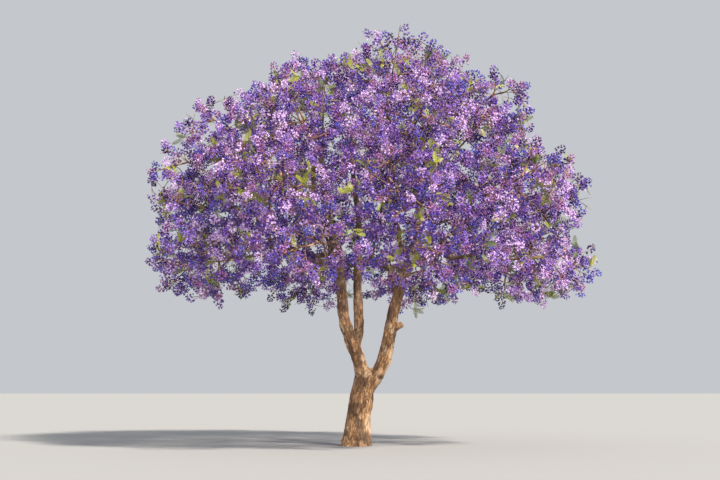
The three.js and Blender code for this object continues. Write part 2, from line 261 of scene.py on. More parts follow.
class Centreline:
    # a Bezier curve that also wanders: fading sine waves across its chord and over it
    def __init__(self, handles, swayShare=0.0, phase=0.0):
        self.handles = np.array(handles, float)
        chord = self.handles[-1] - self.handles[0]
        self.across = unit(np.cross(chord, up))
        self.over = unit(np.cross(self.across, chord))
        self.sway = swayShare * norm(chord)
        self.phase = phase
        self.steps = np.linspace(0, 1, tree["curveSteps"] + 1)
        stretches = norm(np.diff(self.at(self.steps), axis=0), axis=1)
        self.reached = np.concatenate([[0], np.cumsum(stretches)])
        self.length = self.reached[-1]

    def at(self, t):
        fade = (4 * t * (1 - t) * self.sway)[:, None]
        acrossWave = np.sin(sway["acrossWaves"] * math.pi * t + self.phase)[:, None]
        overWave = np.sin(sway["overWaves"] * math.pi * t + 2 * self.phase)[:, None]
        return bezier(self.handles, t) + fade * (acrossWave * self.across + overWave * self.over)

    def stepAt(self, share):
        return np.interp(np.atleast_1d(share) * self.length, self.reached, self.steps)

    def pointAt(self, share):
        points = self.at(self.stepAt(share))
        return points if np.ndim(share) else points[0]

    def wayAt(self, share):
        t = self.stepAt(share)
        ways = unit(self.at(np.clip(t + 1e-4, 0, 1)) - self.at(np.clip(t - 1e-4, 0, 1)))
        return ways if np.ndim(share) else ways[0]


def depth(mass, points):
    # the distance from the mass's heart, where 1 is the edge of its space
    return norm((points - mass["heart"]) / mass["half"], axis=-1)


def inOwnSpace(mass, points):
    # inside the mass's edge, and nearer to its heart than to any other's
    own = depth(mass, points)
    others = np.array([depth(other, points) for other in masses if other is not mass])
    return (own <= 1) & (others > own + tree["ownMargin"]).all(axis=0)


def placeMasses():
    # rings of hearts round the crown's axis, tier by tier, each strayed a little
    random = makeRandom(tree["seed"])
    masses = []
    for tierName, tier in tiers.items():
        half = np.array((tier["wide"], tier["wide"], tier["tall"]))
        rise = math.radians(tier["rise"])
        for k in range(tier["count"]):
            strayTurn = tree["strayTurn"] * (2 * random() - 1)
            turn = math.radians(tier["turn"] + 360 * k / tier["count"] + strayTurn)
            outward = np.array((math.cos(turn), math.sin(turn), 0))
            ring = tier["ring"] + tree["strayRing"] * (2 * random() - 1)
            height = tier["height"] + tree["strayHeight"] * (2 * random() - 1)
            heart = np.array((*tree["crownAxis"], height)) + ring * outward
            heading = outward * math.cos(rise) + up * math.sin(rise)
            entry = heart - tree["entryShare"] * heading / norm(heading / half)
            mass = {"name": f"{tierName}_{k + 1}", "index": len(masses)}
            masses.append(mass | {"heart": heart, "heading": heading, "half": half, "entry": entry})
    return masses


def makeLimb(name, mass, parent, share, curve):
    # with points at even steps of its length, and entered with its parent
    limb = {"name": name, "mass": mass, "parent": parent, "share": share, "curve": curve, "children": []}
    limb["shares"] = np.linspace(0, 1, tree["limbPoints"] + 1)
    limb["points"] = curve.pointAt(limb["shares"])
    limb["before"] = parent["before"] + share * parent["curve"].length if parent else 0
    if parent:
        parent["children"].append(limb)
    return limb


def leaderLimb(leader, limbs, random):
    # a cubic curve from the leader's foot to its mass
    mass, parent = named(leader["mass"], masses), named(leader.get("parent"), limbs)
    foot = parent["curve"].pointAt(leader["share"]) if parent else np.array(leader["foot"])
    tip = mass["entry"]
    handles = [foot, foot + leader["leave"], tip + leader["arrive"], tip]
    curve = Centreline(handles, sway["leader"], fullTurn * random())
    limb = makeLimb(leader["name"], mass, parent, leader.get("share"), curve)
    limb["footRadius"] = leader["radius"]
    return limb


def boughCurve(mass, place, phase):
    # leaves partly along its parent, and arrives along the mass's heading
    away = mass["entry"] - place["foot"]
    distance = norm(away)
    leave = unit(away / distance + bough["follow"] * place["way"] + bough["lift"] * up)
    footHandle = place["foot"] + bough["footHandle"] * distance * leave
    tipHandle = mass["entry"] - bough["tipHandle"] * distance * mass["heading"]
    return Centreline([place["foot"], footHandle, tipHandle, mass["entry"]], sway["bough"], phase)


def isClearRun(mass, place, curve, limbs):
    # keeps away from the limbs, but for its parent near its foot, and from the other masses' hearts
    points = curve.pointAt(np.linspace(0, 1, bough["clearSteps"] + 1))
    away = norm(points - place["foot"], axis=1)
    isLeaving = away < bough["leaving"] * bough["clearance"]
    for limb in limbs:
        isNear = distances(points, limb["points"]).min(axis=1) <= bough["clearance"]
        if (isNear & ~(isLeaving & (limb is place["limb"]))).any():
            return False
    return all((depth(other, points) > bough["heartShare"]).all() for other in masses if other is not mass)


def placesToLeave(mass, limbs):
    # the cost of a place is the new bough's chord plus a share of the way through the tree
    places = []
    for limb in limbs:
        length = limb["curve"].length
        ways = limb["curve"].wayAt(limb["shares"])
        forks = [child["share"] for child in limb["children"]]
        for share, foot, way in zip(limb["shares"], limb["points"], ways):
            away = mass["entry"] - foot
            angle = math.degrees(math.acos(np.clip(unit(away) @ way, -1, 1)))
            isEarly = share * length < bough["firstFork"] or foot[2] < bough["lowestFork"]
            isCrowded = any(abs(fork - share) * length < bough["spacing"] for fork in forks)
            isAskew = angle < bough["leastAngle"] or angle > bough["mostAngle"]
            if isEarly or isCrowded or isAskew or share > bough["lastFork"]:
                continue
            cost = norm(away) + bough["detour"] * (limb["before"] + share * length)
            places.append({"limb": limb, "share": share, "foot": foot, "way": way, "cost": cost})
    return sorted(places, key=lambda place: place["cost"])


def growLimbs():
    # leaders first, then a bough for each mass, the nearest first, from its cheapest clear place
    random = makeRandom(tree["seed"] + 1)
    limbs = []
    for leader in leaders:
        limbs.append(leaderLimb(leader, limbs, random))
    fork = np.array((trunk["lean"], 0, trunk["height"]))
    reached = [limb["mass"]["name"] for limb in limbs]
    waiting = [mass for mass in masses if mass["name"] not in reached]
    waiting.sort(key=lambda mass: norm(mass["entry"] - fork))
    for mass in waiting:
        phase = fullTurn * random()
        for place in placesToLeave(mass, limbs):
            curve = boughCurve(mass, place, phase)
            if isClearRun(mass, place, curve, limbs):
                limbs.append(makeLimb(f"bough_{mass['name']}", mass, place["limb"], place["share"], curve))
                break
    return limbs


def widen(limb):
    # a power of its foot's radius is the sum of that power over its own radius and its boughs'
    power = bough["pipePower"]
    own = bough["tipRadius"] + bough["growth"] * limb["curve"].length
    total = own**power + sum(widen(child) ** power for child in limb["children"])
    limb.setdefault("footRadius", total ** (1 / power))
    return limb["footRadius"]


def radiusAt(limb, share):
    # from foot to tip by a power of the share that is left
    return bough["tipRadius"] + (limb["footRadius"] - bough["tipRadius"]) * (1 - share) ** bough["taperPower"]


def clearOfLimbs(limbs, points, margin):
    # further from every centreline than the limb's radius and the margin
    isClear = np.ones(len(points), bool)
    for limb in limbs:
        isClear &= (distances(points, limb["points"]) > radiusAt(limb, limb["shares"]) + margin).all(axis=1)
    return isClear


def fits(corners, mass, limbs, margin):
    return inOwnSpace(mass, corners).all() and clearOfLimbs(limbs, corners, margin).all()


def aimed(points, direction):
    # turns +Y to the direction by the shortest turn
    axis = np.cross((0, 1, 0), direction)
    turned = points * direction[1] + np.cross(axis, points)
    return turned + np.outer(points @ axis / (1 + direction[1]), axis)


def turnedAbout(vector, axis, angle):
    # the vector's part along the axis stays, and the rest turns
    along = axis * (axis @ vector)
    return along + (vector - along) * math.cos(angle) + np.cross(axis, vector) * math.sin(angle)


def reachWithin(mass, start, heading, share):
    # where the line meets the mass's edge drawn in to a share of its size: the root of a quadratic
    a = heading / mass["half"]
    b = (start - mass["heart"]) / mass["half"]
    return (-(a @ b) + math.sqrt((a @ b) ** 2 - (a @ a) * (b @ b - share**2))) / (a @ a)


def ownReach(mass, start, heading):
    # how far the heading runs before it leaves the mass's own space
    reaches = np.arange(twig["reachSteps"]) * twig["reachStep"]
    isIn = inOwnSpace(mass, start + reaches[:, None] * heading)
    return reaches[np.argmin(isIn)] - twig["reachStep"]


def growArms(mass, stem, random):
    # arms leave the stem at golden turns, the first ones wide and the last ones close to it
    heading = stem.wayAt(0.0)
    first = unit(np.cross(up, heading))
    second = np.cross(heading, first)
    arms = []
    for share in np.linspace(0, 1, twig["arms"]):
        foot = stem.pointAt(twig["firstArm"] + (twig["lastArm"] - twig["firstArm"]) * share)
        spread = math.radians(twig["wideArm"] + (twig["closeArm"] - twig["wideArm"]) * share)
        turn = round(share * (twig["arms"] - 1)) * goldenAngle + twig["strayTurn"] * random()
        sideways = first * math.cos(turn) + second * math.sin(turn)
        way = sideways * math.sin(spread) + heading * math.cos(spread)
        reach = ownReach(mass, foot, way) - spray["length"] + spray["endRoot"]
        if reach > twig["shortestArm"]:
            arms.append({"foot": foot, "way": way, "reach": reach})
    return arms


def armCorners(arm):
    # the foot triangle, its middle and the point of a three-sided cone
    foot = twig["armRadius"] * circled(evenTurns(3), up, np.eye(3)[0])
    tip = (0, arm["reach"] + twig["armOverrun"], 0)
    return arm["foot"] + aimed(np.vstack([foot, (0, 0, 0), tip]), arm["way"])


def sprayCorners(root, way, size):
    # the six corners of a drop
    half, tip = size * spray["width"] / 2, size * spray["length"]
    middle = spray["waist"] * size * spray["length"]
    waist = [(half, middle, 0), (-half, middle, 0), (0, middle, half), (0, middle, -half)]
    return root + aimed(np.array([*waist, (0, 0, 0), (0, tip, 0)]), way)


def sideSpray(arm, mass, along, turn):
    # leans along the arm, to one side of it and away from the heart
    point = arm["foot"] + along * arm["way"]
    side = turnedAbout(unit(np.cross(up, arm["way"])), arm["way"], turn)
    outward = unit(point - mass["heart"])
    way = unit(spray["follow"] * arm["way"] + spray["sideways"] * side + spray["outward"] * outward)
    return point - spray["root"] * way, way


def growSprays(arm, mass, near, taken, random):
    # one at the arm's end, and more further back, each at the first of some golden turns where it fits
    sprays = []

    def place(root, way, size, along):
        middle = root + spray["waist"] * size * spray["length"] * way
        if any(norm(other - middle) < spray["apart"] for other in taken):
            return False
        if not fits(sprayCorners(root, way, size), mass, near, spray["limbMargin"]):
            return False
        taken.append(middle)
        length = size * spray["length"]
        sprays.append({"root": root, "way": way, "length": length, "arm": arm, "along": along})
        return True

    endAlong = arm["reach"] - spray["endRoot"]
    place(arm["foot"] + arm["way"] * endAlong, arm["way"], 1, endAlong)
    for j in range(1, spray["perArm"]):
        along = arm["reach"] * (1 - spray["along"] * j / (spray["perArm"] - 1))
        size = spray["least"] + spray["vary"] * random()
        firstTurn = fullTurn * random()
        for k in range(spray["turns"]):
            if place(*sideSpray(arm, mass, along, firstTurn + k * goldenAngle), size, along):
                break
    return sprays


def growMass(limb):
    # the stem, the arms and the sprays of one mass, as in the solids
    mass = limb["mass"]
    random = makeRandom(tree["seed"] + tree["massSeedStep"] * (mass["index"] + 1))
    near = [other for other in limbs if (depth(mass, other["points"]) < twig["nearMass"]).any()]
    start, heading = limb["curve"].pointAt(1.0), limb["curve"].wayAt(1.0)
    length = reachWithin(mass, start, heading, twig["stemShare"])
    tip = start + heading * length + up * twig["stemLift"] * length
    stem = Centreline([start, start + twig["stemBend"] * length * heading, tip])
    way = stem.wayAt(1.0)
    leading = {"root": tip - spray["endRoot"] * way, "way": way, "length": spray["length"], "arm": None}
    grown = {"mass": mass, "near": near, "stem": stem, "arms": [], "sprays": [leading]}
    taken = []
    others = [other for other in near if other is not limb]
    for arm in growArms(mass, stem, random):
        if fits(armCorners(arm), mass, others, twig["limbMargin"]):
            grown["arms"].append(arm)
            grown["sprays"] += growSprays(arm, mass, near, taken, random)
    return grown


masses = placeMasses()
limbs = growLimbs()
for leader in limbs[: len(leaders)]:
    widen(leader)
growths = [growMass(limb) for limb in limbs]
print("the plan has", len(limbs), "limbs and", sum(len(growth["sprays"]) for growth in growths), "sprays")


# Patterns worked out on whole arrays

def scrambled(cells):
    # a number from -1 to 1 for each whole-numbered cell, from its bits
    x, y, z = (cells[..., k].astype(np.int64).astype(np.uint32) for k in range(3))
    bits = x * np.uint32(374761393) + y * np.uint32(668265263) + z * np.uint32(2246822519)
    bits = (bits ^ (bits >> np.uint32(13))) * np.uint32(1274126177)
    bits = bits ^ (bits >> np.uint32(16))
    return (bits & np.uint32(0xFFFFFF)) / 0x7FFFFF - 1.0


def noise(points):
    # the scrambled numbers of the eight cells round a point, blended by a smooth step along each axis
    cells = np.floor(points)
    ease = points - cells
    ease = ease * ease * (3 - 2 * ease)
    total = np.zeros(points.shape[:-1])
    for corner in np.ndindex(2, 2, 2):
        weight = np.prod(np.where(corner, ease, 1 - ease), axis=-1)
        total += weight * scrambled(cells + corner)
    return total


bark = {
    "plate": (0.047, 0.047, 0.14),  # metres round the limb, twice, and along it
    "warp": 0.55,
    "warpScale": 0.9,
    "warpShifts": (11, 23, 37),
    "grooveWidth": 0.2,
    "grooveDepth": 0.011,
    "crack": (0.5, 0.5, 0.3),  # as shares of a plate's size
    "crackWidth": 0.2,
    "crackDepth": 0.004,
    "crackWarp": 0.3,
    "crackTone": 0.45,  # how dark a crack is beside a groove
    "lump": (0.21, 0.21, 0.36),
    "lumpDepth": 0.03,
    "smallLumps": {"share": 0.5, "scale": 2.3, "shift": 7},
    "thinShare": 0.075,  # the deepest groove on a thin bough, as a share of its radius
    "limbShift": 10,  # how far along the pattern each limb's bark starts after the last one's
    "stubShift": 50,
}


def barkRelief(points, around, along, radius):
    # lumps by place, less grooves and cracks where stretched noise crosses nought
    # around lies on a cylinder as wide as the limb; gives depths in grooves and places on flat bark as well
    flat = np.concatenate([around, along[..., None]], axis=-1)
    lumpy, small = points / bark["lump"], bark["smallLumps"]
    lumps = noise(lumpy) + small["share"] * noise(lumpy * small["scale"] + small["shift"])
    plates = flat / bark["plate"]
    wander = [noise(plates * bark["warpScale"] + shift) for shift in bark["warpShifts"]]
    warped = plates + bark["warp"] * np.stack(wander, axis=-1)
    grooves = np.exp(-((noise(warped) / bark["grooveWidth"]) ** 2))
    fine = flat / (np.array(bark["crack"]) * bark["plate"])
    cracks = np.exp(-((noise(fine + bark["crackWarp"] * warped) / bark["crackWidth"]) ** 2))
    scale = np.minimum(1, bark["thinShare"] * radius / bark["grooveDepth"])
    height = scale * (bark["lumpDepth"] * lumps - bark["grooveDepth"] * grooves - bark["crackDepth"] * cracks)
    # the second value darkens the colour in grooves and cracks: partly their own darker bark, partly painted
    # shade
    return height, np.clip(grooves + bark["crackTone"] * cracks, 0, 1), flat


# Shapes as arrays of points and lists of faces

def tubeFaces(rings, sides):
    # the quads between a closed tube's rings, and the fans to its two end points, which follow the rings
    ring, side = np.meshgrid(np.arange(rings - 1) * sides, np.arange(sides), indexing="ij")
    following = (side + 1) % sides
    corners = [ring + side, ring + following, ring + sides + following, ring + sides + side]
    quads = np.stack(corners, axis=-1).reshape(-1, 4)
    side, following, count = side[0], following[0], rings * sides
    footFan = np.stack([following, side, np.full(sides, count)], axis=-1)
    tipFan = np.stack([count - sides + side, count - sides + following, np.full(sides, count + 1)], axis=-1)
    return [quads, np.concatenate([footFan, tipFan])]


def repeated(faces, copies, stride):
    # the same faces for each copy, with its points a stride further on
    return (faces[None] + np.arange(copies)[:, None, None] * stride).reshape(-1, faces.shape[1])


def squareTo(ways, guides=None):
    # two directions square to each way: the first also square to the axis that lies least along its guide
    least = np.eye(3)[np.argmin(np.abs(ways if guides is None else guides), axis=-1)]
    first = unit(np.cross(ways, least))
    return first, np.cross(ways, first)


def tubes(handles, footRadius, tipRadius, steps, sides):
    # one closed tube along each Bezier curve: rings square to it, with an even taper from foot to tip
    t = np.linspace(0, 1, steps + 1)
    path = bezier(handles, t)
    ways = unit(np.gradient(path, axis=1))
    first, second = squareTo(ways, unit(handles[:, -1] - handles[:, 0])[:, None])
    radius = footRadius[:, None] * (1 - t) + tipRadius[:, None] * t
    circle = circled(evenTurns(sides), first[:, :, None], second[:, :, None])
    rings = (path[:, :, None] + radius[..., None, None] * circle).reshape(len(handles), -1, 3)
    tips = path[:, -1:] + tipRadius[:, None, None] * ways[:, -1:]
    points = np.concatenate([rings, path[:, :1], tips], axis=1)
    faces = [repeated(block, len(handles), points.shape[1]) for block in tubeFaces(steps + 1, sides)]
    return points.reshape(-1, 3), faces


def joined(shapes):
    # several shapes as one: their points in a row, and their faces counted on
    points, faces, count = [], [], 0
    for shapePoints, shapeFaces in shapes:
        points.append(shapePoints)
        faces += [block + count for block in shapeFaces]
        count += len(shapePoints)
    return np.concatenate(points), faces


def meshFrom(name, points, faces, isSmooth):
    # points and blocks of faces as one mesh
    mesh = bpy.data.meshes.new(name)
    mesh.vertices.add(len(points))
    mesh.vertices.foreach_set("co", np.asarray(points, np.float32).ravel())
    corners = np.concatenate([block.ravel() for block in faces])
    counts = np.concatenate([np.full(len(block), block.shape[1]) for block in faces])
    mesh.loops.add(len(corners))
    mesh.loops.foreach_set("vertex_index", corners.astype(np.int32))
    mesh.polygons.add(len(counts))
    mesh.polygons.foreach_set("loop_start", (np.cumsum(counts) - counts).astype(np.int32))
    mesh.polygons.foreach_set("use_smooth", np.full(len(counts), isSmooth))
    mesh.update(calc_edges=True)
    return mesh


def newObject(name, data):
    thing = bpy.data.objects.new(name, data)
    bpy.context.scene.collection.objects.link(thing)
    return thing


def placePiece(name, mesh):
    piece = newObject(name, mesh)
    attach(piece, "root")
    print(name, "has", len(mesh.loops) - 2 * len(mesh.polygons), "triangles")
    return piece


def makePiece(name, points, faces, material, slot, isSmooth=True):
    mesh = meshFrom(name, points, faces, isSmooth)
    mesh.materials.append(material)
    return placePiece(name, mesh)


# Materials

def setInputs(node, inputs):
    # each socket set to a value, or linked to another node's socket
    for socket, value in inputs.items():
        if isinstance(value, bpy.types.NodeSocket):
            node.id_data.links.new(value, node.inputs[socket])
        else:
            node.inputs[socket].default_value = value


def setShader(material, inputs):
    setInputs(material.node_tree.nodes["Principled BSDF"], inputs)


def newMaterial(name, roughness, colour=None):
    material = bpy.data.materials.new(name)
    material.use_nodes = True
    setShader(material, {"Roughness": roughness})
    if colour:
        setShader(material, {"Base Color": (*colour, 1)})
    return material


def addNode(nodeTree, kind, settings=None, inputs=None):
    node = nodeTree.nodes.new(kind)
    for setting, value in (settings or {}).items():
        setattr(node, setting, value)
    setInputs(node, inputs or {})
    return node


def attributeOf(material, name, output):
    return addNode(material.node_tree, "ShaderNodeAttribute", {"attribute_name": name}).outputs[output]


def placeOf(material):
    return addNode(material.node_tree, "ShaderNodeTexCoord").outputs["Object"]


def mixed(factor, first, second):
    # a colour between two, by a factor
    inputs = {0: factor, 6: first, 7: second}
    return addNode(factor.id_data, "ShaderNodeMix", {"data_type": "RGBA"}, inputs).outputs[2]


def worked(operation, *values):
    inputs = dict(enumerate(values))
    return addNode(values[0].id_data, "ShaderNodeMath", {"operation": operation}, inputs).outputs[0]


def noiseOn(place, scale, detail, stretch=1):
    # noise drawn out along the limb or upwards by one over the stretch
    drawn = addNode(place.id_data, "ShaderNodeMapping", inputs={"Vector": place, "Scale": (1, 1, stretch)})
    inputs = {"Vector": drawn.outputs["Vector"], "Scale": scale, "Detail": detail}
    return addNode(place.id_data, "ShaderNodeTexNoise", inputs=inputs).outputs["Fac"]


def ranged(value, low, high, toLow=0.0, toHigh=1.0):
    # a smooth step from toLow to toHigh while the value passes from low to high
    inputs = {"Value": value, "From Min": low, "From Max": high, "To Min": toLow, "To Max": toHigh}
    step = {"interpolation_type": "SMOOTHSTEP"}
    return addNode(value.id_data, "ShaderNodeMapRange", step, inputs).outputs["Result"]


barkColours = {
    # the lower bark's colours are warmed as painted low sunlight over a grey-brown bark
    "tan": (0.52, 0.275, 0.125, 1),
    "pale": (0.84, 0.5, 0.27, 1),
    # painted sunlight: the cream that sunlit patches on the trunk turn to
    "paintedSunCream": (0.97, 0.68, 0.42, 1),
    # painted shade: the dark brown of shaded patches on the trunk
    "paintedShadeBrown": (0.17, 0.092, 0.056, 1),
    # the dark of grooves and fissures, also used for painted shade
    "groove": (0.07, 0.036, 0.022, 1),
    # painted shade: the crown's grey-brown darkened as if shaded by the blossom
    "crown": (0.1, 0.072, 0.064, 1),
    "crownPale": (0.28, 0.19, 0.15, 1),
    "twig": (0.09, 0.05, 0.038, 1),
    "twigPale": (0.45, 0.25, 0.145, 1),
}
barkLook = {
    "roughness": 0.9,
    "twigRoughness": 0.85,
    "stalkRoughness": 0.7,
    "stalkColour": (0.38, 0.16, 0.095),
    "sunToShade": (2.7, 5.2),  # metres above the ground where the bark starts to turn from the warm tan of painted sunlight to the darker grey-brown of painted shade in the crown, and where it has
    # grooves darken by their depth: partly their own darker bark, partly painted shade in the recesses
    "grooves": (0.15, 1, 0, 0.66),  # between which depths in a groove it darkens, and by how much
    "grain": (60, 8, 0.25),
    "grainStrength": 0.8,
    "grainDepth": 0.008,
}
# a noise's scale, detail and stretch, the values between which the layer comes in, and how strong it gets
barkLayers = {
    "flecks": {"noise": (17, 6, 0.4), "between": (0.44, 0.66)},
    # painted sunlight: patches of the lower bark that turn cream as if lit through the crown
    "paintedSunPatches": {"noise": (3.1, 3, 0.4), "between": (0.49, 0.57), "strength": 0.8},
    # painted shade: dappled patches of the lower bark turned dark brown
    "paintedShadeBlotches": {"noise": (4.2, 5, 0.5), "between": (0.48, 0.6), "strength": 0.8},
    # painted shade: large darker patches over all the bark
    "paintedShadePatches": {"noise": (1.7, 4), "between": (0.5, 0.66), "strength": 0.42},
    "fissures": {"noise": (48, 5, 0.17), "between": (0.42, 0.56, 1, 0), "strength": 0.36},
    "twigPatches": {"noise": (6, 4), "between": (0.42, 0.62)},
}


def barkLayer(place, name):
    # how far it shows: a smooth step of its noise, and one more up to its strength where it has one
    layer = barkLayers[name]
    shown = ranged(noiseOn(place, *layer["noise"]), *layer["between"])
    return ranged(shown, 0, 1, 0, layer["strength"]) if "strength" in layer else shown


def makeBarkMaterial():
    # warm below as painted low sunlight, and a darker grey-brown in the crown as painted shade, each flecked
    # by a noise;
    # below also painted sunlit patches and painted dappled shade; all under painted shade patches, grooves
    # darkened partly as painted shade, and fissures
    material = newMaterial("bark", barkLook["roughness"])
    place, onBark = placeOf(material), attributeOf(material, "onBark", "Vector")
    flecks = barkLayer(place, "flecks")
    lower = mixed(flecks, barkColours["tan"], barkColours["pale"])
    # painted sunlight: cream patches over the lower bark
    lower = mixed(barkLayer(place, "paintedSunPatches"), lower, barkColours["paintedSunCream"])
    # painted shade: dappled dark brown patches over the lower bark
    lower = mixed(barkLayer(place, "paintedShadeBlotches"), lower, barkColours["paintedShadeBrown"])
    upper = mixed(flecks, barkColours["crown"], barkColours["crownPale"])
    height = addNode(place.id_data, "ShaderNodeSeparateXYZ", inputs={"Vector": place}).outputs["Z"]
    # painted light: sunlit warm bark below, shaded dark bark in the crown
    colour = mixed(ranged(height, *barkLook["sunToShade"]), lower, upper)
    # grooves darkened by their depth, partly as painted shade in the recesses
    grooves = ranged(attributeOf(material, "groove", "Fac"), *barkLook["grooves"])
    # painted shade patches, the grooves' partly painted shade and the fissures, each towards the dark colour
    for dark in (barkLayer(place, "paintedShadePatches"), grooves, barkLayer(onBark, "fissures")):
        colour = mixed(dark, colour, barkColours["groove"])
    grain = noiseOn(onBark, *barkLook["grain"])
    bumps = {"Height": grain, "Strength": barkLook["grainStrength"], "Distance": barkLook["grainDepth"]}
    normal = addNode(place.id_data, "ShaderNodeBump", inputs=bumps).outputs["Normal"]
    setShader(material, {"Base Color": colour, "Normal": normal})
    return material


def makeTwigMaterial():
    # two browns mixed by a noise
    material = newMaterial("twigBark", barkLook["twigRoughness"])
    patches = barkLayer(placeOf(material), "twigPatches")
    colour = mixed(patches, barkColours["twig"], barkColours["twigPale"])
    setShader(material, {"Base Color": colour})
    return material


barkMaterial = makeBarkMaterial()
twigMaterial = makeTwigMaterial()
stalkMaterial = newMaterial("stalks", barkLook["stalkRoughness"], barkLook["stalkColour"])

# Bark over the limbs: tubes with the bark's relief, and one skin over the trunk and the fork

limbBark = {
    "stepLength": 0.028,
    "sides": 18,
    "leaderSides": 30,
    "dive": 0.09,  # how far a tube's start or end takes to come out of the skin that hides it
    "diveShare": 0.3,
}
forkBark = {
    "voxel": 0.0142,
    "smoothing": 44,
    "evenRounds": 4,  # the first rounds, which smooth thin limbs too
    "softening": 0.5,
    "widthRounds": 30,
    "smoothFrom": 0.03,  # limbs thinner than this keep their shape, and ones as thick as smoothTo melt most
    "smoothTo": 0.17,
    "footShare": 0.72,  # how thin a leader starts inside the trunk
    "footRise": 0.5,
    "belowGround": 0.1,
    "leaderTo": 3.3,  # how far the one skin follows a leader, from its foot
    "collarPast": 0.14,  # and a bough, past its parent's side
    "sampleLength": 0.06,
    "leastSamples": 4,
    "stubSamples": 8,
    "sides": 36,
}


def limbFrame(limb, shares):
    # the centreline's points, and at each two directions square to it that turn as little as they can
    points, ways = limb["curve"].pointAt(shares), limb["curve"].wayAt(shares)
    first = np.empty_like(ways)
    side = np.cross(ways[0], np.eye(3)[np.argmin(np.abs(ways[0]))])
    for k, way in enumerate(ways):
        side = unit(side - way * (side @ way))
        first[k] = side
    return points, first, np.cross(ways, first)


def flaredRadius(limb, shares):
    # a limb's radius, a little wider close to its foot
    fromFoot = shares * limb["curve"].length
    return radiusAt(limb, shares) * (1 + bough["collarFlare"] * np.exp(-fromFoot / limb["footRadius"]))


def eased(value):
    # from 0 to 1 with level ends
    value = np.clip(value, 0, 1)
    return value * value * (3 - 2 * value)


def thinned(share, distance, over):
    # the factor that takes a share off a tube's radius at one end, and ever less of it further on
    return 1 - share * (1 - eased(distance / over))


def alongBark(limb, shares):
    # the distance along the limb, shifted so that no two limbs have the same bark
    return shares * limb["curve"].length + bark["limbShift"] * limb["mass"]["index"]


def ringPoints(points, first, second, radius, sides):
    # a ring round each point, its radius one number or one for each side, and then the two end points
    circle = circled(evenTurns(sides), first[:, None], second[:, None])
    rings = points[:, None] + np.reshape(radius, (len(points), -1, 1)) * circle
    return np.concatenate([rings.reshape(-1, 3), points[:1], points[-1:]])


def limbShape(limb, start, sides):
    # a tube from a distance along the limb to its tip; one that starts in a skin comes out of it slowly
    length = limb["curve"].length
    shares = np.linspace(start / length, 1, int((length - start) / limbBark["stepLength"]) + 2)
    lines = limbFrame(limb, shares)
    radius = flaredRadius(limb, shares)
    if start > 0:
        radius = radius * thinned(limbBark["diveShare"], shares * length - start, limbBark["dive"])
    circle = circled(evenTurns(sides), *np.eye(2)) * radius[:, None, None]
    along = np.repeat(alongBark(limb, shares)[:, None], sides, axis=1)
    plain = ringPoints(*lines, radius, sides)[:-2].reshape(-1, sides, 3)
    height, groove, onBark = barkRelief(plain, circle, along, radius[:, None])
    points = ringPoints(*lines, radius[:, None] + height, sides)
    onBark = np.concatenate([onBark.reshape(-1, 3), onBark[0, :1], onBark[-1, :1]])
    return points, tubeFaces(len(shares), sides), np.append(groove, [0, 0]), onBark


def skinReach(limb):
    # how far along a limb the one skin goes, or 0 where it is not in it
    parent = limb["parent"]
    fromParent = limb["share"] * parent["curve"].length if parent else 0
    if limb["name"].endswith("leader"):
        return forkBark["leaderTo"] - fromParent
    if fromParent > skinReach(parent) - limb["footRadius"] - limbBark["dive"]:
        return 0
    collar = radiusAt(parent, limb["share"]) + limb["footRadius"]
    return collar + forkBark["collarPast"] + 2 * limbBark["dive"]


def trunkTube():
    # the flared and ridged trunk, from below the ground up to its rounded top inside the fork
    height, lean = trunk["height"], trunk["lean"]
    bend = (trunk["bendLean"] * lean, 0, trunk["bendHeight"] * height)
    curve = Centreline([(0, 0, 0), (0, 0, trunk["straight"] * height), bend, (lean, 0, height)])
    shares = np.linspace(0, 1, int(height / forkBark["sampleLength"]))
    ways = curve.wayAt(shares)
    first = unit(np.cross((0, 1, 0), ways))
    flare = np.exp(-shares * height / trunk["flareHeight"])[:, None]
    ridges = 1 + trunk["ridgeDepth"] * flare * np.cos(trunk["rootRidges"] * evenTurns(forkBark["sides"]))
    closing = np.maximum(0, (shares - 1) / trunk["closingShare"] + 1)[:, None]
    rounded = np.sqrt(np.maximum(trunk["topShare"] ** 2, 1 - closing**2))
    radius = (trunk["radius"] + trunk["footFlare"] * flare) * ridges * rounded
    rows = (curve.pointAt(shares), first, np.cross(ways, first), radius, shares * height)
    points, first, second, radius, along = (np.concatenate([row[:1], row]) for row in rows)
    points[0, 2] -= forkBark["belowGround"]
    along[0] -= forkBark["belowGround"]
    return points, first, second, radius, along


def limbTube(limb, reach):
    # a limb's first run, thinner where it ends under its own bark, and a leader's also where it starts
    length = limb["curve"].length
    count = max(forkBark["leastSamples"], int(reach / forkBark["sampleLength"]))
    shares = np.linspace(0, reach / length, count)
    radius = flaredRadius(limb, shares)
    radius = radius * thinned(limbBark["diveShare"], reach - shares * length, limbBark["dive"])
    if not limb["parent"]:
        radius = radius * thinned(1 - forkBark["footShare"], shares * length, forkBark["footRise"])
    return (*limbFrame(limb, shares), radius[:, None], alongBark(limb, shares))


def stubLine():
    # the stub's foot and its heading
    return named(stub["leader"], limbs)["curve"].pointAt(stub["share"]), unit(np.array(stub["heading"]))


def stubTube():
    # a straight tube of one radius from the stub's foot along its heading
    foot, heading = stubLine()
    count = forkBark["stubSamples"]
    along = np.linspace(0, 1, count) * stub["length"]
    first, second = squareTo(np.tile(heading, (count, 1)))
    radius = np.full((count, 1), stub["radius"])
    return foot + along[:, None] * heading, first, second, radius, along + bark["stubShift"]


def skinTubes():
    # the tubes to melt together, each with its centreline, frame, radius and the way along it
    reaches = [(limb, skinReach(limb)) for limb in limbs]
    return [trunkTube(), *[limbTube(limb, reach) for limb, reach in reaches if reach > 0], stubTube()]


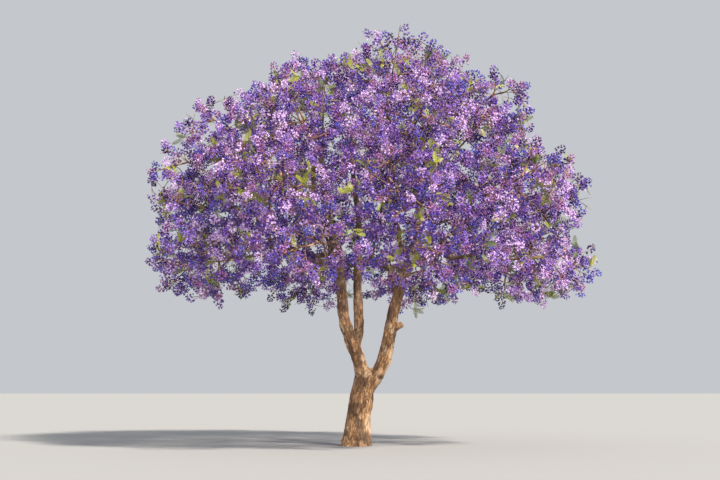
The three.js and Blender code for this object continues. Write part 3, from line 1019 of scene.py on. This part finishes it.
def nearestOnTubes(points, tubesInSkin):
    # for each point the tube whose side is nearest for its width: round it, along it, and its radius there
    best = np.full(len(points), np.inf)
    around, along, width = np.zeros((len(points), 2)), np.zeros(len(points)), np.ones(len(points))
    for centres, first, second, radius, way in tubesInSkin:
        mean = radius.mean(axis=1)
        squares = (points**2).sum(axis=1)[:, None] - 2 * points @ centres.T + (centres**2).sum(axis=1)
        ratio = np.sqrt(np.maximum(squares, 0)) / mean
        k = np.argmin(ratio, axis=1)
        closer = ratio[np.arange(len(points)), k] < best
        k = k[closer]
        best[closer] = ratio[closer, k]
        offset = points[closer] - centres[k]
        flat = np.stack([(offset * first[k]).sum(axis=1), (offset * second[k]).sum(axis=1)], axis=1)
        heading = np.cross(first[k], second[k])
        around[closer] = unit(flat) * mean[k][:, None]
        along[closer] = way[k] + (offset * heading).sum(axis=1)
        width[closer] = mean[k]
    return around, along, width


def readRows(items, name, width, kind=float):
    # one row of values for each item
    values = np.empty(len(items) * width, kind)
    items.foreach_get(name, values)
    return values.reshape(-1, width)


def neighbourMeans(mesh):
    # a function that gives, for values at the mesh's points, the mean over each point's neighbours
    ends = readRows(mesh.edges, "vertices", 2, np.int32)
    here, there = np.concatenate([ends[:, 0], ends[:, 1]]), np.concatenate([ends[:, 1], ends[:, 0]])
    neighbours = np.bincount(here)[:, None]

    def means(values):
        sums = [np.bincount(here, column[there]) for column in values.T]
        return np.stack(sums, axis=1) / neighbours

    return means


def softened(points, means, tubesInSkin):
    # each point moves again and again halfway to the mean of its neighbours, less far on thin limbs
    width = nearestOnTubes(points, tubesInSkin)[2]
    weight = eased((width - forkBark["smoothFrom"]) / (forkBark["smoothTo"] - forkBark["smoothFrom"]))
    for k in range(forkBark["smoothing"]):
        reach = forkBark["softening"] * np.where(k < forkBark["evenRounds"], 1, weight)[:, None]
        points = points + reach * (means(points) - points)
    return points


def meltedMesh(shapes):
    # the shapes' union as one skin of even faces
    rough = newObject("rough", meshFrom("rough", *joined(shapes), True))
    melt = rough.modifiers.new("melt", "REMESH")
    melt.mode = "VOXEL"
    melt.voxel_size = forkBark["voxel"]
    evaluated = rough.evaluated_get(bpy.context.evaluated_depsgraph_get())
    mesh = bpy.data.meshes.new_from_object(evaluated)
    bpy.data.objects.remove(rough)
    return mesh


def cutAtGround(mesh):
    # removes what lies below the ground and closes the cut with one flat face
    shape = bmesh.new()
    shape.from_mesh(mesh)
    everything = shape.verts[:] + shape.edges[:] + shape.faces[:]
    bmesh.ops.bisect_plane(shape, geom=everything, plane_co=(0, 0, 0), plane_no=(0, 0, 1), clear_inner=True)
    rim = [edge for edge in shape.edges if edge.is_boundary]
    bmesh.ops.contextual_create(shape, geom=rim)
    shape.to_mesh(mesh)
    shape.free()


def setAttribute(mesh, name, values):
    # a number or a place for each point
    isPlace = values.ndim == 2
    attribute = mesh.attributes.new(name, "FLOAT_VECTOR" if isPlace else "FLOAT", "POINT")
    attribute.data.foreach_set("vector" if isPlace else "value", values.astype(np.float32).ravel())


def setBark(mesh, groove, onBark):
    # how deep in a groove each point lies, which darkens it partly as painted shade, and its place on the
    # unrolled bark
    setAttribute(mesh, "groove", groove)
    setAttribute(mesh, "onBark", onBark)


def makeForkBark():
    # the melted tubes softened, and each point moved along its normal by the relief at its place on the bark
    tubesInSkin, sides = skinTubes(), forkBark["sides"]
    shapes = [(ringPoints(*tube[:4], sides), tubeFaces(len(tube[0]), sides)) for tube in tubesInSkin]
    mesh = meltedMesh(shapes)
    means = neighbourMeans(mesh)
    points = softened(readRows(mesh.vertices, "co", 3), means, tubesInSkin)
    mesh.vertices.foreach_set("co", points.ravel())
    mesh.update()
    around, along, width = nearestOnTubes(points, tubesInSkin)
    width = width[:, None]
    for _ in range(forkBark["widthRounds"]):
        width = means(width)
    height, groove, onBark = barkRelief(points, around, along, width[:, 0])
    points += readRows(mesh.vertex_normals, "vector", 3) * height[:, None]
    mesh.vertices.foreach_set("co", points.ravel())
    setBark(mesh, groove, onBark)
    cutAtGround(mesh)
    mesh.polygons.foreach_set("use_smooth", np.ones(len(mesh.polygons), bool))
    mesh.materials.clear()
    mesh.materials.append(barkMaterial)
    return placePiece("trunkBark", mesh)


trunkPiece = makeForkBark()
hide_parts("trunk")


def makeLimbBark(name, carried, sides):
    # the tubes of some limbs as one piece, each from a little inside the skin where that ends
    shapes = [limbShape(limb, max(0, skinReach(limb) - 2 * limbBark["dive"]), sides) for limb in carried]
    points, faces = joined([shape[:2] for shape in shapes])
    piece = makePiece(name, points, faces, barkMaterial, "bark")
    setBark(piece.data, *[np.concatenate([shape[k] for shape in shapes]) for k in (2, 3)])
    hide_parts(*[limb["name"] for limb in carried])


makeLimbBark("leaderBark", limbs[: len(leaders)], limbBark["leaderSides"])
makeLimbBark("boughBark", limbs[len(leaders) :], limbBark["sides"])

sawnEnd = {
    "radius": 0.071,
    "thick": 0.07,
    "rings": 9,
    "innermost": 0.1,
    "sides": 40,
    "uneven": 0.004,  # how far its outline bulges, in metres, and at how many places
    "bulges": 3,
    "bulgeTurn": 1,
    "roughness": 0.8,
    "noise": (30, 3),
    "wobble": (0.3, 0.7, 0, 0.16),  # the noise's range, and how far it moves the growth rings
    "growth": 55.0,  # how closely those rings follow each other
    "dark": (0.62, 0.33, 0.16, 1),
    "light": (0.8, 0.5, 0.28, 1),
}


def makeSawnMaterial():
    # growth rings: the sine of the distance from the middle, which a noise makes wobble
    material = newMaterial("sawnWood", sawnEnd["roughness"])
    wobble = ranged(noiseOn(placeOf(material), *sawnEnd["noise"]), *sawnEnd["wobble"])
    distance = worked("ADD", attributeOf(material, "fromMiddle", "Fac"), wobble)
    rings = worked("SINE", worked("MULTIPLY", distance, sawnEnd["growth"]))
    colour = mixed(ranged(rings, -1, 1), sawnEnd["dark"], sawnEnd["light"])
    setShader(material, {"Base Color": colour})
    return material


def makeSawnEnd():
    # a ring of points behind the cut's edge, and then rings from that edge in to its middle
    foot, heading = stubLine()
    count, sides = sawnEnd["rings"], sawnEnd["sides"]
    share = np.append(1, np.linspace(1, sawnEnd["innermost"], count))
    back = np.append(sawnEnd["thick"], np.zeros(count))
    centres = foot + stub["length"] * heading - back[:, None] * heading
    bulge = np.sin(sawnEnd["bulges"] * evenTurns(sides) + sawnEnd["bulgeTurn"])
    radius = sawnEnd["radius"] * share[:, None] * (1 + sawnEnd["uneven"] / sawnEnd["radius"] * bulge)
    points = ringPoints(centres, *squareTo(heading[None]), radius, sides)
    piece = makePiece("sawnEnd", points, tubeFaces(count + 1, sides), makeSawnMaterial(), "bark", False)
    setAttribute(piece.data, "fromMiddle", np.append(np.repeat(share, sides), [0, 0]))


makeSawnEnd()
print("bark done")

# Twigs: the stem and arms of each mass, a twig for each spray, and finer twigs that leave those

twigs = {
    "armBow": 0.15,
    "leadingFrom": 0.9,  # where on the stem the twig of the leading spray starts
    "sprayLength": 0.88,
    "sprayBow": 0.15,
    "handle": 0.33,  # how far a twig's handles lie from its ends, as a share of its length
    "swayBack": 0.8,
    "samples": (0.15, 0.95, 9),  # where finer twigs may leave a twig: from, to, and at how many places
    "crowding": (0.6, 1.0),  # the places on a spray's twig that keep finer tips away
    "tries": 700,  # places tried in each mass's space for the tips of finer twigs
    "apart": 0.47,  # the least distance between those tips
    "reach": (0.2, 1.0),  # the shortest and the longest finer twig
    "backward": 0.5,  # how much a sharp turn back counts against a place to leave from
    "innerEdge": -0.5,  # no tips further in than this, where -1 is the space's edge on the trunk's side
    "outerEdge": 0.94,
    "fineBow": 0.13,
    "bareTries": 170,
    "bareApart": 0.22,
    "bareReach": (0.25, 0.8),
    "limbMargin": 0.1,
}
# foot and tip radii, how much they vary, and the steps and sides of the tubes
twigKinds = [
    {"name": "stems", "radius": (0.026, 0.012), "vary": (1, 1), "steps": 8, "sides": 8},
    {"name": "arms", "radius": (0.026, 0.011), "vary": (0.8, 1.15), "steps": 10, "sides": 6},
    {"name": "sprays", "radius": (0.014, 0.005), "vary": (0.8, 1.15), "steps": 7, "sides": 4},
    {"name": "fine", "radius": (0.0115, 0.004), "vary": (0.8, 1.15), "steps": 6, "sides": 3},
    {"name": "bare", "radius": (0.012, 0.004), "vary": (0.8, 1.15), "steps": 6, "sides": 3},
]
gaps = {
    "heart": (0.25, 0.1, 4.4),  # of the dome that the masses make together
    "half": (5.62, 5.62, 5.75),
    "inner": 0.46,  # twigs fill the gaps in the dome from this share of its depth outwards
    "outer": 0.97,
    "lowest": 4.2,
    "tries": 9000,
    "apart": 0.46,
    "reach": (0.2, 1.8),
    "limbs": (0.4, 1, 16),  # where they may leave a limb
}


def randomWays(count):
    # even over the sphere
    return unit(chance.normal(size=(count, 3)))


def bowed(foot, way, length, leave, bow):
    # a curve that leaves along one way, ends along another and sways to one side between
    side = randomWays(1)[0]
    tip = foot + way * length
    first = foot + twigs["handle"] * length * unit(leave + way) + bow * length * side
    second = tip - twigs["handle"] * length * way - twigs["swayBack"] * bow * length * side
    return np.array([foot, first, second, tip])


def placesIn(mass, near, tries):
    # random places in the mass's own space, clear of limbs and not on its inner side
    inBall = randomWays(tries) * chance.random((tries, 1)) ** (1 / 3) * twigs["outerEdge"]
    places = mass["heart"] + inBall * mass["half"]
    isOwn = inOwnSpace(mass, places) & (inBall @ mass["heading"] > twigs["innerEdge"])
    return places[isOwn & clearOfLimbs(near, places, twigs["limbMargin"])]


def leaveFrom(skeleton, tip):
    # the place on the skeleton with the least distance to the tip, a turn backwards counting as further
    points, ways = skeleton
    away = tip - points
    distance = norm(away, axis=1)
    turn = 1 - (away * ways).sum(axis=1) / np.maximum(distance, 1e-6)
    k = np.argmin(distance * (1 + twigs["backward"] * turn))
    return points[k], ways[k], distance[k]


def runOf(points):
    # a skeleton's share: all points but the last, and the way that leads on from each
    return points[:-1], unit(np.diff(points, axis=0))


def samplesOf(handles):
    # a few points along a twig, past its foot
    return runOf(bezier(handles, np.linspace(*twigs["samples"])))


def together(skeletons):
    # several skeletons' points and ways as one's
    return tuple(np.concatenate(rows) for rows in zip(*skeletons))


def keptApart(tips, taken, apart):
    # the tips that keep this distance from those taken and from each other
    if len(taken):
        tips = tips[distances(tips, taken).min(axis=1) > apart]
    kept = []
    for tip in tips:
        if not kept or norm(np.array(kept) - tip, axis=1).min() > apart:
            kept.append(tip)
    return kept


def fillWithTwigs(tips, taken, skeleton, apart, reach):
    # twigs to those tips that keep apart, the nearest to the skeleton first, each joining it when grown
    kept = keptApart(tips, taken, apart)
    kept.sort(key=lambda tip: leaveFrom(skeleton, tip)[2])
    grown = []
    for tip in kept:
        foot, leave, length = leaveFrom(skeleton, tip)
        if reach[0] < length < reach[1]:
            handles = bowed(foot, (tip - foot) / length, length, leave, twigs["fineBow"])
            grown.append(handles)
            skeleton = together([skeleton, samplesOf(handles)])
    return grown, skeleton


def sprayTwig(grown, stem):
    # from the stem's end or the spray's arm to near the tip of the spray
    arm = grown["arm"]
    if arm:
        t = grown["along"] / (arm["reach"] + twig["armOverrun"])
        foot, leave = bezier(arm["handles"], np.array([t]))[0], arm["way"]
    else:
        foot, leave = stem.pointAt(twigs["leadingFrom"]), grown["way"]
    away = grown["root"] + grown["way"] * grown["length"] * twigs["sprayLength"] - foot
    length = norm(away)
    return bowed(foot, away / length, length, leave, twigs["sprayBow"])


def growTwigs(growth):
    # the handles of a mass's twigs by kind, as in twigKinds, and last the skeleton that they make
    start, bend, end = growth["stem"].handles
    stem = np.array([start, (start + 2 * bend) / 3, (2 * bend + end) / 3, end])
    for arm in growth["arms"]:
        length = arm["reach"] + twig["armOverrun"]
        arm["handles"] = bowed(arm["foot"], arm["way"], length, arm["way"], twigs["armBow"])
    arms = [arm["handles"] for arm in growth["arms"]]
    sprays = [sprayTwig(grown, growth["stem"]) for grown in growth["sprays"]]
    skeleton = together([samplesOf(handles) for handles in [stem, *arms, *sprays]])
    taken = bezier(np.array(sprays), np.array(twigs["crowding"])).reshape(-1, 3)
    tips = placesIn(growth["mass"], growth["near"], twigs["tries"])
    fine, skeleton = fillWithTwigs(tips, taken, skeleton, twigs["apart"], twigs["reach"])
    tips = placesIn(growth["mass"], growth["near"], twigs["bareTries"])
    bare, skeleton = fillWithTwigs(tips, [], skeleton, twigs["bareApart"], twigs["bareReach"])
    return [stem], arms, sprays, fine, bare, skeleton


def radii(pair, count, vary):
    # foot and tip radii for some tubes, a little uneven
    factors = chance.uniform(*vary, count)
    return pair[0] * factors, pair[1] * factors


grownTwigs = [growTwigs(growth) for growth in growths]
stemHandles, armHandles, sprayHandles, fineHandles, bareHandles = (
    np.array([handles for rows in grownTwigs for handles in rows[k]]) for k in range(len(twigKinds))
)


def growInGaps():
    # finer twigs to the places in the dome's shell that no twig has reached
    runs = [runOf(limb["curve"].pointAt(np.linspace(*gaps["limbs"]))) for limb in limbs]
    skeleton = together([rows[-1] for rows in grownTwigs] + runs)
    size = gaps["outer"] * chance.random((gaps["tries"], 1)) ** (1 / 3)
    tips = gaps["heart"] + randomWays(gaps["tries"]) * size * gaps["half"]
    tips = tips[(size[:, 0] > gaps["inner"]) & (tips[:, 2] > gaps["lowest"])]
    tips = tips[clearOfLimbs(limbs, tips, twigs["limbMargin"])]
    crowding = bezier(np.concatenate([sprayHandles, fineHandles]), np.array(twigs["crowding"]))
    return fillWithTwigs(tips, crowding.reshape(-1, 3), skeleton, gaps["apart"], gaps["reach"])[0]


gapHandles = np.array(growInGaps())
fineHandles = np.concatenate([fineHandles, gapHandles])
handlesByKind = (stemHandles, armHandles, sprayHandles, fineHandles, bareHandles)
print("twigs:", *[f"{len(handles)} {kind['name']}" for kind, handles in zip(twigKinds, handlesByKind)])
print("in gaps:", len(gapHandles), "of the fine ones")
woody = joined([
    tubes(handles, *radii(kind["radius"], len(handles), kind["vary"]), kind["steps"], kind["sides"])
    for kind, handles in zip(twigKinds, handlesByKind)
])
makePiece("twigs", *woody, twigMaterial, "bark")

# Blossom: each spray and each finer twig carries panicles, and each panicle a spiral of trumpet flowers

panicle = {
    "perTwig": 3,
    "from": 0.42,  # the share of a twig where its panicles start
    "to": 0.98,
    "stray": 0.04,
    "step": 0.05,  # how far back on the twig its direction is measured
    "follow": 0.6,  # how far a panicle follows its twig
    "spread": 1.0,  # and how far it strays from that, all but the last on each twig
    "tipSpread": 0.25,
    "lift": 0.12,
    "length": (0.2, 0.31),
    "radius": 0.085,
    "stalk": 0.2,  # the bare share of its own axis
    "stalkRadius": (0.007, 0.003),
    "stalkVary": (0.8, 1.15),
    "middle": 0.6,  # the share of its axis that is held inside the crown
    "crownEdge": 1.02,
    "flowers": 18,
    "narrowAt": 1.15,  # the share of its axis where its width would be nought, and the power it falls by
    "narrowing": 0.6,
    "filling": (0.35, 1.1),  # how far out its flowers sit, as shares of that width
    "patch": 0.8,  # the size of the patches of the crown where one tint leads, in metres
    "mottle": 0.55,  # and how much chance breaks them up
}
flower = {
    "length": 0.074,
    "vary": (0.75, 1.15),
    "shrink": 0.35,  # how much smaller those at a panicle's tip are
    "strays": 0.2,  # the share of a panicle's flowers that take another tint than its own
    "sides": 5,
    "throatRadius": 0.31,
    "throatAt": 0.74,
    "throatAside": 0.05,
    "lobeRadius": 0.48,
    "lobeAt": 0.93,
    "lowerLobe": 0.09,
    "rise": (0.25, 0.7),  # how far it faces along its panicle: at the foot, and how much more at the tip
    "droop": 0.28,
    "turnAside": 0.35,
    "roughness": 0.55,
    "sheen": 0.15,
}
tints = [
    {"name": "blue", "colour": (0.1, 0.082, 0.52), "share": 0.18},
    # painted shade: a near-black violet that stands in for the shade between flowers
    {"name": "deepShade", "colour": (0.05, 0.015, 0.13), "share": 0.17},
    {"name": "violet", "colour": (0.165, 0.06, 0.42), "share": 0.18},
    {"name": "lavender", "colour": (0.35, 0.2, 0.7), "share": 0.17},
    {"name": "lilac", "colour": (0.41, 0.165, 0.43), "share": 0.15},
    # painted highlight: a near-white lilac that stands in for sunlit flowers
    {"name": "pale", "colour": (0.78, 0.56, 0.93), "share": 0.15},
]


def placePanicles():
    # at even steps along the outer part of each twig, the last one in line with its tip
    roots, ways, count = [], [], panicle["perTwig"]
    for handles in (sprayHandles, fineHandles):
        for k in range(count):
            t = panicle["from"] + (panicle["to"] - panicle["from"]) * (k + 1) / count
            t = t - panicle["stray"] * chance.random(len(handles))
            root = eachOn(handles, t)
            along = unit(root - eachOn(handles, t - panicle["step"]))
            aside = panicle["tipSpread" if k == count - 1 else "spread"] * randomWays(len(root))
            roots.append(root)
            ways.append(unit(panicle["follow"] * along + aside + panicle["lift"] * up))
    return np.concatenate(roots), np.concatenate(ways)


def insideCrown(places, margin, edge):
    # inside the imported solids' box by a margin, and in some mass's space or in the dome
    isIn = ((places > lowCorner + margin) & (places < highCorner - margin)).all(axis=1)
    isNear = np.array([depth(mass, places) for mass in masses]).min(axis=0) < edge
    return isIn & (isNear | (depth(gaps, places) < 1))


roots, ways = placePanicles()
lengths = chance.uniform(*panicle["length"], len(roots))
middles = roots + ways * lengths[:, None] * panicle["middle"]
kept = insideCrown(middles, panicle["radius"] + flower["length"], panicle["crownEdge"])
roots, ways, lengths = roots[kept], ways[kept], lengths[kept]
print("panicles", len(roots))


def flowerShape():
    # a trumpet from its root at the origin along +Z, and pointed lobes that spread at its mouth
    sides, flat = flower["sides"], np.eye(3)[:2]
    turns = evenTurns(sides)
    between = turns + math.pi / sides
    throat = circled(turns, *flat) * flower["throatRadius"] + (flower["throatAside"], 0, flower["throatAt"])
    lobes = circled(between, *flat) * flower["lobeRadius"]
    lobes[:, 2] = flower["lobeAt"] - flower["lowerLobe"] * np.cos(between)
    k = np.arange(sides)
    following = (k + 1) % sides
    tube = np.stack([0 * k, 1 + following, 1 + k], axis=1)
    lobe = np.stack([1 + k, 1 + following, 1 + sides + k], axis=1)
    return np.vstack([(0, 0, 0), throat, lobes]), np.concatenate([tube, lobe])


def flowerPlaces():
    # a spiral up each panicle: wide at its foot, narrow at its tip, the flowers facing out and nodding
    count = panicle["flowers"]
    share = panicle["stalk"] + (1 - panicle["stalk"]) * (np.arange(count) + 0.5) / count
    turns = np.arange(count) * goldenAngle + chance.uniform(0, fullTurn, (len(roots), 1))
    first, second = squareTo(ways)
    out = circled(turns, first[:, None], second[:, None])
    profile = (panicle["narrowAt"] - share) ** panicle["narrowing"]
    reach = panicle["radius"] * profile * chance.uniform(*panicle["filling"], (len(roots), count))
    places = roots[:, None] + (share * lengths[:, None])[..., None] * ways[:, None] + reach[..., None] * out
    rise = flower["rise"][0] + flower["rise"][1] * share
    facing = out + rise[:, None] * ways[:, None] - flower["droop"] * up
    facing = unit(facing + flower["turnAside"] * chance.normal(size=facing.shape))
    shrunk = 1 - flower["shrink"] * share**3
    return places, facing, flower["length"] * chance.uniform(*flower["vary"], reach.shape) * shrunk


def makeCopies(name, shape, faces, places, facing, rolls, sizes, material, slot):
    # the shape at each place, its +Z turned to the facing, rolled about it and scaled
    rolled = circled(rolls, *squareTo(facing))
    local = shape[None] * sizes[:, None, None]
    turned = local[..., :1] * rolled[:, None] + local[..., 1:2] * np.cross(facing, rolled)[:, None]
    points = places[:, None] + turned + local[..., 2:] * facing[:, None]
    blocks = [repeated(faces, len(places), len(shape))]
    return makePiece(name, points.reshape(-1, 3), blocks, material, slot, False)


def tintByPlace():
    # a slow noise over the crown and some chance, ranked, and the ranks cut at the tints' shares
    value = noise(roots / panicle["patch"]) + panicle["mottle"] * chance.normal(size=len(roots))
    rank = value.argsort().argsort() / len(value)
    return np.searchsorted(np.cumsum([tint["share"] for tint in tints]), rank)[:, None]


def makeBlossom():
    # every flower takes a tint, and each tint's flowers are one piece
    shape, faces = flowerShape()
    places, facing, sizes = flowerPlaces()
    shares = [tint["share"] for tint in tints]
    isStray = chance.random(sizes.shape) < flower["strays"]
    tintOfFlower = np.where(isStray, chance.choice(len(tints), sizes.shape, p=shares), tintByPlace())
    for k, tint in enumerate(tints):
        own = tintOfFlower == k
        rolls = chance.uniform(0, fullTurn, own.sum())
        material = newMaterial("petals_" + tint["name"], flower["roughness"], tint["colour"])
        setShader(material, {"Sheen Weight": flower["sheen"]})
        copies = (places[own], facing[own], rolls, sizes[own])
        piece = makeCopies("blossom_" + tint["name"], shape, faces, *copies, material, "blossom")
        if k == 0:
            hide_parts(*["blossom_" + mass["name"] for mass in masses])


makeBlossom()
tips = roots + ways * lengths[:, None]
axisHandles = np.stack([roots, roots + (tips - roots) / 3, roots + (tips - roots) * 2 / 3, tips], axis=1)
axes = tubes(axisHandles, *radii(panicle["stalkRadius"], len(roots), panicle["stalkVary"]), 1, 3)
makePiece("stalks", *axes, stalkMaterial, "bark")

# Leaves: ferny tufts at some twigs

leaf = {
    "tuftShare": 0.08,  # the share of flowering twigs that carry leaves
    "bareShare": 0.16,  # and of bare ones
    "perTuft": 7,
    "from": 0.55,
    "follow": 0.7,
    "spread": 0.9,
    "lift": 0.25,
    "margin": 0.05,
    "crownEdge": 1.03,
    "length": (0.19, 0.31),
    "rolls": (0, 6.28),  # turns about its rib
    "pairs": 10,
    "pairsAlong": (0.16, 0.97),
    "pinnaLength": 0.3,
    "pinnaWidth": 0.062,
    "pinnaWay": (0.85, 0.53),  # aside and along the rib
    "widestAt": 0.27,
    "profile": (0.12, 0.8, 0.7),  # where the sine of the pinnae's lengths starts, its run, and its power
    "arch": 0.35,
    "rib": 0.009,
    "ribPieces": 4,
    "freshShare": 0.6,
    "roughness": 0.5,
}
leafTints = [
    {"name": "fresh", "colour": (0.33, 0.36, 0.02)},
    {"name": "olive", "colour": (0.13, 0.17, 0.02)},
]


def leafShape():
    # an arching rib along +Z with pairs of narrow blades, long in the middle and short at both ends
    aside, forward = leaf["pinnaWay"]
    start, run, power = leaf["profile"]
    shares = np.linspace(*leaf["pairsAlong"], leaf["pairs"])[:, None]
    reach = leaf["pinnaLength"] * np.sin(math.pi * (start + run * shares)) ** power
    side = np.array((-1, 1))[:, None, None] * np.eye(3)[0]
    way, across = aside * side + forward * up, (aside * up - forward * side) * leaf["pinnaWidth"] / 2
    root = shares * up + 0 * way
    middle = root + leaf["widestAt"] * reach * way
    blades = np.stack([root, middle - across, root + reach * way, middle + across], axis=2)
    ends = np.linspace(0, 1, leaf["ribPieces"] + 1)
    heights = np.stack([ends[:-1], ends[:-1], ends[1:], ends[1:]], axis=1)[..., None] * up
    rib = heights + leaf["rib"] * np.array((-1, 1, 1, -1))[:, None] * np.eye(3)[0]
    points = np.concatenate([blades.reshape(-1, 3), rib.reshape(-1, 3)])
    points[:, 1] -= leaf["arch"] * points[:, 2] ** 2
    return points, np.arange(len(points)).reshape(-1, 4)


def makeLeaves():
    # a tuft of leaves along the outer part of each chosen twig
    shape, faces = leafShape()
    wanted = np.concatenate([
        chance.random(len(sprayHandles) + len(fineHandles)) < leaf["tuftShare"],
        chance.random(len(bareHandles)) < leaf["bareShare"],
    ])
    handles = np.concatenate([sprayHandles, fineHandles, bareHandles])[wanted]
    t = np.tile(np.linspace(leaf["from"], 1.0, leaf["perTuft"]), len(handles))
    stack = np.repeat(handles, leaf["perTuft"], axis=0)
    spots = eachOn(stack, t)
    along = unit(stack[:, 3] - stack[:, 2])
    looks = unit(leaf["follow"] * along + leaf["spread"] * randomWays(len(spots)) + leaf["lift"] * up)
    scales = chance.uniform(*leaf["length"], len(spots))
    isFresh = np.repeat(chance.random(len(handles)) < leaf["freshShare"], leaf["perTuft"])
    kept = insideCrown(spots + looks * scales[:, None], leaf["margin"], leaf["crownEdge"])
    for tint, isOwn in zip(leafTints, (isFresh, ~isFresh)):
        own = kept & isOwn
        material = newMaterial("leaf_" + tint["name"], leaf["roughness"], tint["colour"])
        copies = (spots[own], looks[own], chance.uniform(*leaf["rolls"], own.sum()), scales[own])
        makeCopies("leaves_" + tint["name"], shape, faces, *copies, material, "leaf")


makeLeaves()

# Floor, light and camera

studio = {
    "floorColour": (0.345, 0.35, 0.36),
    "floorRoughness": 0.9,
    "floorReach": 200,
    "skyColour": (0.92, 0.95, 1.0),
    "skyStrength": 0.6,
    "sunColour": (1.0, 0.91, 0.78),
    "sunStrength": 6.7,
    "sunSize": 6,  # degrees across: a wide, soft source
    "sunFrom": (0.7, -0.74, 0.95),
}
camera = {"place": (0.1, -30.5, 1.5), "target": (0.1, 0.0, 5.2), "lens": 60, "farthest": 1000}


def makeFloor():
    corners = studio["floorReach"] * np.array([(-1, -1, 0), (1, -1, 0), (1, 1, 0), (-1, 1, 0)], float)
    mesh = meshFrom("floor", corners, [np.array([[0, 1, 2, 3]])], False)
    mesh.materials.append(newMaterial("floor", studio["floorRoughness"], studio["floorColour"]))
    floor = newObject("floor", mesh)


def makeLight():
    world = bpy.data.worlds.new("sky")
    world.use_nodes = True
    sky = {"Color": (*studio["skyColour"], 1), "Strength": studio["skyStrength"]}
    setInputs(world.node_tree.nodes["Background"], sky)
    bpy.context.scene.world = world
    sun = bpy.data.lights.new("sun", "SUN")
    sun.energy = studio["sunStrength"]
    sun.color = studio["sunColour"]
    sun.angle = math.radians(studio["sunSize"])
    light = newObject("sun", sun)
    light.rotation_euler = Vector(studio["sunFrom"]).to_track_quat("Z", "Y").to_euler()


def makeCamera():
    data = bpy.data.cameras.new("camera")
    data.lens = camera["lens"]
    data.clip_end = camera["farthest"]
    lookout = newObject("camera", data)
    lookout.location = camera["place"]
    gaze = Vector(camera["target"]) - Vector(camera["place"])
    lookout.rotation_euler = gaze.to_track_quat("-Z", "Y").to_euler()
    bpy.context.scene.camera = lookout


makeFloor()
makeLight()
makeCamera()
bpy.context.scene.view_settings.view_transform = "Standard"
